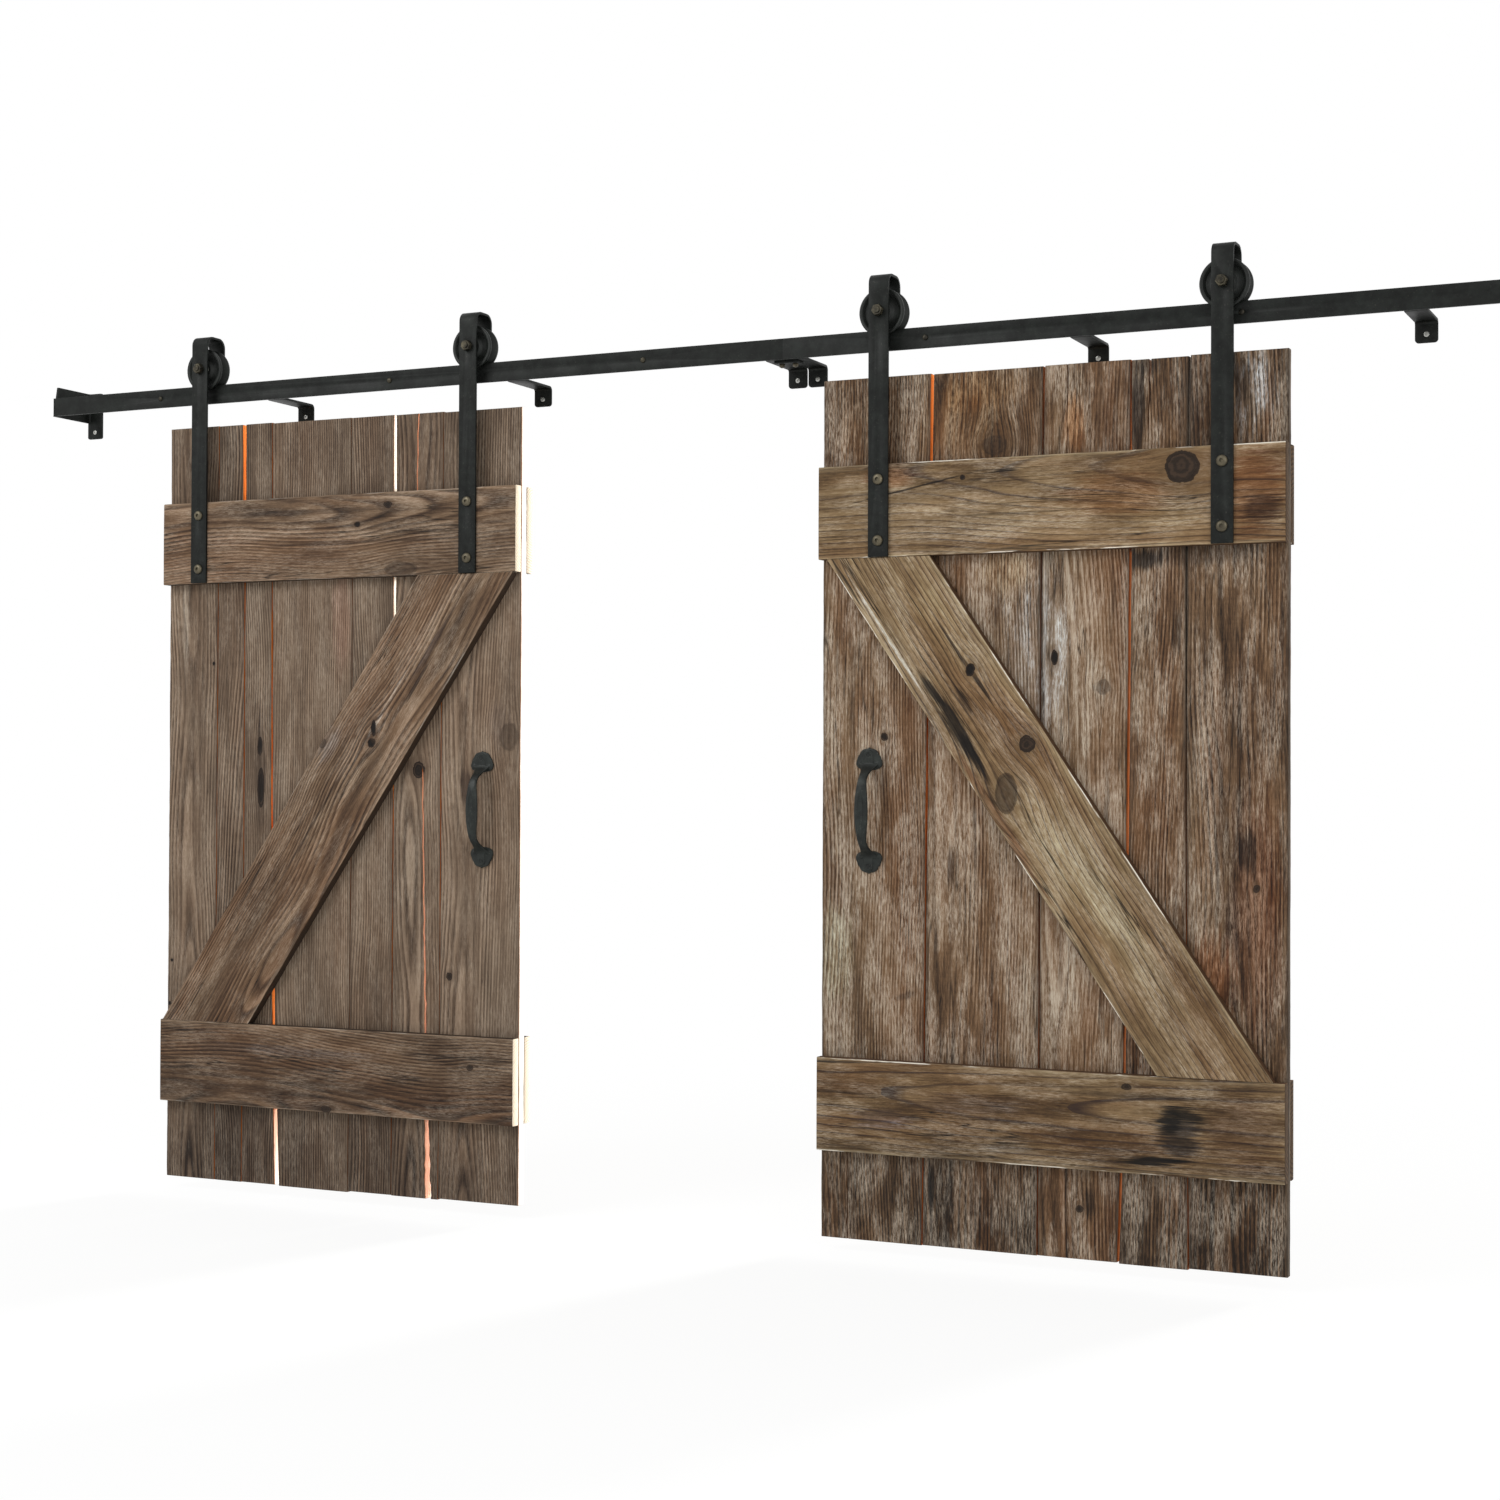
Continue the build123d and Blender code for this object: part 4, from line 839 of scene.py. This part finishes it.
def cast_pull(name, x, z, material):
    """A lobed shield at each end, with a screw boss and two pips, and a broad bow flaring down onto them.

    Half widths are taken across the door, places along it from the middle of the pull, heights off the plank."""
    screw, boss_radius, boss_foot, bow_end = 132.0, 11.5, 113, 112
    side = [(2.0, 147.8), (9.0, 146.8), (17.5, 144.0), (22.0, 139.5), (23.5, 135.0), (28.5, 129.0)]
    side += [(30.5, 123.0), (33.3, 116.0), (33.5, 109.5), (30.5, 103.0), (24.0, 99.0), (14.0, 96.0)]
    outline = np.array([(0.0, 151.0)] + side + [(0.0, 95.5)] + [(-u, v) for u, v in reversed(side)] + [(0.0, 151.0)])
    run = np.concatenate([[0], np.cumsum(np.hypot(*np.diff(outline, axis=0).T))])
    even = np.linspace(0, run[-1], 241)[:-1]
    rim = np.stack([np.interp(even, run, outline[:, i]) for i in (0, 1)], 1)
    rim = sum(np.roll(rim, k, 0) for k in (-1, 0, 1)) / 3
    centre = np.array([0.0, screw])
    ray = rim - centre
    reach = np.hypot(*ray.T)[:, None]
    ray = ray / reach
    ring = 5.25 + (reach - 5.25) * np.linspace(0, 1, 25)[None]
    flat = centre + ray[:, None] * ring[..., None]
    edge = np.clip(1 - (reach - ring) / 4.0, 0, 1)
    high = 5.2 - 2.0 * (1 - np.sqrt(1 - edge**2))
    u, v = flat[..., 0], flat[..., 1]
    round_screw = np.hypot(u, v - screw) - boss_radius
    boss = np.where(v > screw, round_screw, np.maximum(np.abs(u) - boss_radius, boss_foot - v))
    high += 3.0 * np.clip(0.5 - boss / 1.6, 0, 1)
    high += 2.6 * np.exp(-(((np.abs(u) - 24 + 0.3 * (v - 110)) / 3.0) ** 2) - ((v - 110) / 5.0) ** 2)
    points, faces = [], []

    def grid(rows, closed):
        start, count = len(points), rows.shape[1]
        points.extend((x + u * MM, -(PLANK_FRONT + h) * MM, z + v * MM) for u, v, h in rows.reshape(-1, 3))
        for i in range(len(rows) - (not closed)):
            near, far = start + i * count, start + (i + 1) % len(rows) * count
            faces.extend((near + j, near + (j + 1) % count, far + (j + 1) % count, far + j) for j in range(count))
        if not closed:
            faces.extend(tuple(range(first, first + count)) for first in (start, start + (len(rows) - 1) * count))

    front = np.concatenate([flat, high[..., None]], -1)
    back = np.concatenate([flat[:, [-1, 0]], np.full((len(flat), 2, 1), 0.3)], -1)
    shield = np.concatenate([front, back], 1).transpose(1, 0, 2)
    for end in (1, -1):
        grid(shield * (1, end, 1), True)
    # The bow as sections along its length, hollowed by a long oval panel in the middle
    place = np.linspace(-bow_end, bow_end, 181)
    at = np.abs(place)
    rise = np.interp(at, (0, 30, 58, 70, 80, 88, 95, 101, 107, 112), (54, 53.4, 50.8, 47.5, 41, 32, 22, 13.5, 8, 5.2))
    rise = np.convolve(np.pad(rise, 4, "edge"), np.ones(9) / 9, "valid")
    wide = np.interp(at, (0, 30, 58, 76, 88, 95, 101, 107, 112), (17.2, 16.0, 12.6, 10.6, 11.2, 13.6, 17.4, 21.5, 24.5))
    thick = np.interp(at, (0, 58, 80, 95, 112), (5.6, 5.0, 4.2, 3.8, 2.4))
    slope = np.stack([np.gradient(place), np.gradient(rise)], 1)
    slope = slope / np.hypot(*slope.T)[:, None]
    turn = np.linspace(0, 2 * math.pi, 72, endpoint=False)
    cos, sin = np.cos(turn), np.sin(turn)
    across = wide[:, None] * np.sign(cos) * np.abs(cos) ** 0.6
    out = thick[:, None] * np.sign(sin) * np.abs(sin) ** 0.75
    oval = np.hypot(across / 7.5, place[:, None] / 40)
    panel = np.clip((1.06 - oval) / 0.22, 0, 1) - 0.5 * np.exp(-(((oval - 1.22) / 0.16) ** 2))
    out = out - np.where(sin > 0, 2.1 * panel, 0)
    along = place[:, None] - out * slope[:, 1:]
    grid(np.stack([across, along, rise[:, None] + out * slope[:, :1]], -1), False)
    piece = new_object(name, points, faces, material)
    recalculate(piece)
    return piece


# Operators: each makes one group of pieces


SWATCH = {"size": 3, "min": 0.0, "max": 1.0, "subtype": "COLOR"}


class PlankDoorsLook(bpy.types.PropertyGroup):
    """Sizes and colours that a user would change."""

    left_wood: bpy.props.FloatVectorProperty(
        name="Left door's wood",
        description="Middle shade of the left door; its other shades follow",
        default=linear("#6b5a4a")[:3],
        **SWATCH,
    )
    right_wood: bpy.props.FloatVectorProperty(
        name="Right door's wood",
        description="Middle shade of the right door; its other shades follow",
        default=linear("#7a6148")[:3],
        **SWATCH,
    )
    steel: bpy.props.FloatVectorProperty(
        name="Steel",
        description="Blackening of the bar, the hangers and the brackets",
        default=linear("#0c0e0c")[:3],
        **SWATCH,
    )
    arris: bpy.props.FloatProperty(
        name="Worn arris", description="How far board edges are worn round", default=0.0024, min=0.0, unit="LENGTH"
    )
    bar_arris: bpy.props.FloatProperty(
        name="Bar arris", description="Rounded edge of the steel bar", default=0.0009, min=0.0, unit="LENGTH"
    )
    lens: bpy.props.FloatProperty(
        name="Lens", description="Focal length on a 36 mm sensor", default=57.21, min=1.0, unit="CAMERA"
    )


def plank_lines(door, number):
    """West and east edges of a plank as (x, z), top to bottom, in millimetres."""
    seams = [((0,) * 5, (0,) * 5), *door["seams"], ((DOOR_WIDTH,) * 5, (0,) * 5)]
    top, low = door["top_trim"][number - 1], door["low_trim"][number - 1]
    heights = (LEVELS[0] - top, *LEVELS[1:4], LEVELS[4] + low)
    return [
        [(door["start"] + at + way * gap / 2, z) for at, gap, z in zip(*seam, heights)]
        for seam, way in ((seams[number - 1], 1), (seams[number], -1))
    ]


def nearby(knots, edges):
    """The knots that lie between two edges."""
    low, high = np.min(edges, (0, 1)), np.max(edges, (0, 1))
    return [k for k in knots if low[0] < k[0] < high[0] and low[1] < k[1] < high[1]]


class MakeBoards(bpy.types.Operator):
    """Planks, ledges and brace of both doors"""

    bl_idname = "plank_doors.boards"
    bl_label = "Boards"

    def execute(self, context):
        for count, side in enumerate(SIDES):
            door = DOORS[side]
            glows = [0.0, *door["glow"], door["edge"]]
            for number in range(1, len(glows)):
                edges = plank_lines(door, number)
                piece = board_mesh(
                    f"{side}_board_{number}",
                    edges,
                    PLANK_FRONT,
                    PLANK_THICK,
                    40 * count + number,
                    finish(f"{side}_planks"),
                    nearby(KNOTS[f"{side}_planks"], edges),
                    door["tones"][number - 1],
                    glows[number - 1 : number + 1],
                    door["splits"].get(number),
                    door["cleft"],
                )
                dress(piece, f"{side}_door", "weathered_boards", f"{side}_plank_{number}")
            left, right = door["start"], door["start"] + DOOR_WIDTH
            battens = [
                (f"{face}_batten_{end}", [[(left, z), (right, z)] for z in levels], front)
                for face, front in (("front", BATTEN_FRONT), ("back", BACK_BATTEN_FRONT))
                for end, levels in BATTEN_LEVELS.items()
            ]
            foot, head, cut = door["brace"]
            below, above = BATTEN_LEVELS["bottom"][1], BATTEN_LEVELS["top"][0]
            brace = [[(left + foot + over, below), (left + head + over, above)] for over in (0, cut)]
            for k, (node, edges, front) in enumerate((*battens, ("brace", brace, BATTEN_FRONT))):
                piece = board_mesh(
                    f"{side}_{node}_worn",
                    edges,
                    front,
                    BATTEN_THICK,
                    40 * count + 20 + k,
                    finish(f"{side}_battens"),
                    nearby(KNOTS[f"{side}_battens"], edges) if front == BATTEN_FRONT else (),
                    door["ledge_tones"][k],
                    (0.9, 0.9),
                )
                dress(piece, f"{side}_door", "batten_boards", f"{side}_{node}")
        return {"FINISHED"}


class MakeIronwork(bpy.types.Operator):
    """Rail, brackets, end stops, joint plate and hangers"""

    bl_idname = "plank_doors.ironwork"
    bl_label = "Ironwork"

    def execute(self, context):
        track = frame["record"]["behaviour"]["bodies"]["track"]
        bars = [(node, "track") for node in track if "bolts" not in node]
        bars += [(f"{side}_hanger_{place}", f"{side}_door") for side in SIDES for place in PLACES]
        for node, body in bars:
            piece = refined(node, finish("bar"), context.scene.plank_doors.bar_arris)
            dress(piece, body, "blackened_steel", node)
        return {"FINISHED"}


class MakeWheels(bpy.types.Operator):
    """Grooved wheels with their bearings"""

    bl_idname = "plank_doors.wheels"
    bl_label = "Wheels"

    def execute(self, context):
        half = PROFILES["wheel_half"]
        groove = half + [(-reach, radius) for reach, radius in reversed(half)]
        for side in SIDES:
            for place in PLACES:
                wheel = f"{side}_wheel_{place}"
                centre = middle(wheel)
                piece = turned(f"{wheel}_turned", groove, finish("wheel"), centre, 96, 38)
                dress(piece, f"{wheel}_turning", "wheel_steel", wheel)
                piece = turned(f"{side}_sleeve_{place}", PROFILES["sleeve"], finish("bearing"), centre, 64)
                dress(piece, f"{wheel}_turning", "bearing_steel", f"{side}_bearing_{place}")
        return {"FINISHED"}


class MakeFastenings(bpy.types.Operator):
    """Axle bolts, spacers, strap bolts, rail bolts, joint bolts, their nuts and washers, and the wall screws"""

    bl_idname = "plank_doors.fastenings"
    bl_label = "Fastenings"

    def execute(self, context):
        for side in SIDES:
            hubs = [middle(f"{side}_wheel_{place}") for place in PLACES]
            # Depths from the wall, and levels where they aren't the wheels' own
            for name, node, profile, coat, turn, depths, levels in (
                ("axle_bolts", "axle_bolts", "axle_bolt", "nut", 0.9, (STRAP_FRONT,), ()),
                ("spacers", "axle_spacers", "spacer", "wheel", 0.0, SPACERS, ()),
                ("strap_bolts", "strap_bolts", "strap_bolt", "bolt", 0.5, (STRAP_FRONT,), STRAP_BOLT_LEVELS),
                ("nuts", "nuts_and_washers", "nut_and_washer", "bolt", 0.5, (BACK_BATTEN_BACK,), STRAP_BOLT_LEVELS),
            ):
                spots = [(x, -y * MM, z * MM) for x, _, hub in hubs for y in depths for z in levels or (hub / MM,)]
                piece = fastenings(f"{side}_{name}_turned", profile, spots, finish(coat), turn)
                dress(piece, f"{side}_door", "bolt_steel", f"{side}_{node}")
        rail = (-RAIL_FRONT * MM, RAIL_BOLT_LEVEL * MM)
        spots = [((RAIL_SHIFT + (k + 0.5) * RAIL_BOLT_PITCH) * MM, *rail) for k in range(-3, 3)]
        piece = fastenings("rail_bolts_turned", "rail_bolt", spots, finish("nut"), 0.5, 36)
        dress(piece, "track", "bolt_steel", "rail_bolts")
        dress(refined("joint_bolts", finish("bolt"), 0.0006), "track", "bolt_steel", "joint_bolts")
        # Countersunk wall screws, one in each tab of the brackets and the end stops
        tabs = [middle(node)[0] for node in frame["nodes"] if node.startswith("wall_bracket")]
        spots = [(x, -TAB_FRONT * MM, 0.0) for x in (*tabs, -STOP_TAB * MM, STOP_TAB * MM)]
        dress(fastenings("wall_screws", "wall_screw", spots, finish("zinc"), 0.5, 36), "track", "bolt_steel")
        return {"FINISHED"}


class MakeHandles(bpy.types.Operator):
    """Cast pulls and their screws"""

    bl_idname = "plank_doors.handles"
    bl_label = "Handles"

    def execute(self, context):
        for side in SIDES:
            x, _, z = middle(f"{side}_handle")
            piece = cast_pull(f"{side}_cast_pull", x, z, finish("cast"))
            voxels = piece.modifiers.new("cast", "REMESH")
            voxels.mode = "VOXEL"
            voxels.voxel_size = 0.001
            voxels.use_smooth_shade = True
            soft = piece.modifiers.new("soft", "SMOOTH")
            soft.factor = 0.5
            soft.iterations = 3
            settle(piece)
            dress(piece, f"{side}_door", "cast_handle", f"{side}_handle")
            screws = frame["nodes"][f"{side}_handle_screws"]
            screws.data.materials.clear()
            screws.data.materials.append(finish("wheel"))
        return {"FINISHED"}


def background_rays(tree):
    """1 for the camera's, reflected and transmitted rays, which see a plain white background, and 0 for light."""
    rays = put(tree, "ShaderNodeLightPath").node.outputs
    seen = put(tree, LARGEST, (rays["Is Camera Ray"], rays["Is Glossy Ray"]))
    return put(tree, LARGEST, (seen, rays["Is Transmission Ray"]))


class MakeStage(bpy.types.Operator):
    """Floor, backdrop, lamps and the camera at the photograph's angle"""

    bl_idname = "plank_doors.stage"
    bl_label = "Stage"

    def execute(self, context):
        scene = context.scene
        scene.view_settings.view_transform = "Standard"
        # Near the doors the paper keeps their shadow, farther out it runs into the white background
        paper, tree = new_material("white_studio_paper")
        place = put(tree, "ShaderNodeTexCoord", out="Object")
        place = put(tree, VECTOR, (place, (1.0, 1.0, 0.0)), operation="MULTIPLY")
        far = put(tree, VECTOR, (place,), out=1, operation="LENGTH")
        share = put(tree, RANGE, (far, 1.2, 3.4, 0.88, 1.0))
        share = put(tree, TIMES, (background_rays(tree), share))
        lit = put(tree, "ShaderNodeBsdfDiffuse", (linear("#f4f4f2"),))
        glow = put(tree, "ShaderNodeEmission", ((1, 1, 1, 1), 1.0))
        mixed = put(tree, "ShaderNodeMixShader", (share, lit, glow))
        put(tree, "ShaderNodeOutputMaterial", {"Surface": mixed})
        corners = [(x, y, FLOOR * MM) for x, y in ((-40, -40), (40, -40), (40, 40), (-40, 40))]
        new_object("studio_floor", corners, [(0, 1, 2, 3)], paper)
        scene.world = bpy.data.worlds.new("studio")
        scene.world.use_nodes = True
        tree = scene.world.node_tree
        tree.nodes.clear()
        soft, bright = (put(tree, "ShaderNodeBackground", ((1, 1, 1, 1), level)) for level in (0.55, 1.0))
        mixed = put(tree, "ShaderNodeMixShader", (background_rays(tree), soft, bright))
        put(tree, "ShaderNodeOutputWorld", (mixed,))
        # The window is low daylight from behind, slanted so that it reaches into the open seams
        for name, spot, aim, size, power in (
            ("key", (-3.2, -4.6, 2.6), (0.0, -0.1, -1.0), 3.0, 165.0),
            ("fill", (4.5, -4.2, 1.0), (0.3, -0.1, -1.0), 3.5, 80.0),
            ("window", (1.8, 5.6, 0.1), (0.0, 0.0, -0.9), None, 7.2),
        ):
            lamp = bpy.data.lights.new(name, "AREA" if size else "SUN")
            lamp.energy = power
            if size:
                lamp.size = size
            else:
                lamp.angle = math.radians(9)
            light = bpy.data.objects.new(name, lamp)
            scene.collection.objects.link(light)
            light.location = spot
            light.visible_camera = False
            light.visible_glossy = bool(size)
            light.rotation_euler = (Vector(aim) - Vector(spot)).to_track_quat("-Z", "Y").to_euler()
        yaw, pitch, roll = math.radians(25.175), math.radians(0.688), math.radians(0.22)
        turn = Matrix.Rotation(yaw, 4, "Z") @ Matrix.Rotation(math.pi / 2 + pitch, 4, "X")
        lens = bpy.data.cameras.new("view")
        lens.lens = scene.plank_doors.lens
        lens.sensor_width = 36.0
        lens.clip_end = 200.0
        camera = bpy.data.objects.new("view", lens)
        scene.collection.objects.link(camera)
        spot = Matrix.Translation((2.3805, -5.3984, -0.9882))
        camera.matrix_world = spot @ turn @ Matrix.Rotation(roll, 4, "Z")
        scene.camera = camera
        return {"FINISHED"}


class PlankDoorsPanel(bpy.types.Panel):
    """Lists the makers of each group of pieces"""

    bl_idname = "VIEW3D_PT_plank_doors"
    bl_label = "Plank Doors"
    bl_space_type = "VIEW_3D"
    bl_region_type = "UI"
    bl_category = "Plank Doors"

    def draw(self, context):
        look = context.scene.plank_doors
        for key in look.__annotations__:
            self.layout.prop(look, key)
        for maker in MAKERS:
            self.layout.operator(maker.bl_idname)


MAKERS = (MakeBoards, MakeIronwork, MakeWheels, MakeFastenings, MakeHandles, MakeStage)
CLASSES = (PlankDoorsLook, *MAKERS, PlankDoorsPanel)


def register():
    for item in CLASSES:
        bpy.utils.register_class(item)
    bpy.types.Scene.plank_doors = bpy.props.PointerProperty(type=PlankDoorsLook)


def unregister():
    del bpy.types.Scene.plank_doors
    for item in reversed(CLASSES):
        bpy.utils.unregister_class(item)


def main():
    register()
    bpy.ops.plank_doors.stage()
    bpy.ops.plank_doors.boards()
    bpy.ops.plank_doors.ironwork()
    bpy.ops.plank_doors.wheels()
    bpy.ops.plank_doors.fastenings()
    bpy.ops.plank_doors.handles()


if __name__ == "__main__":
    main()
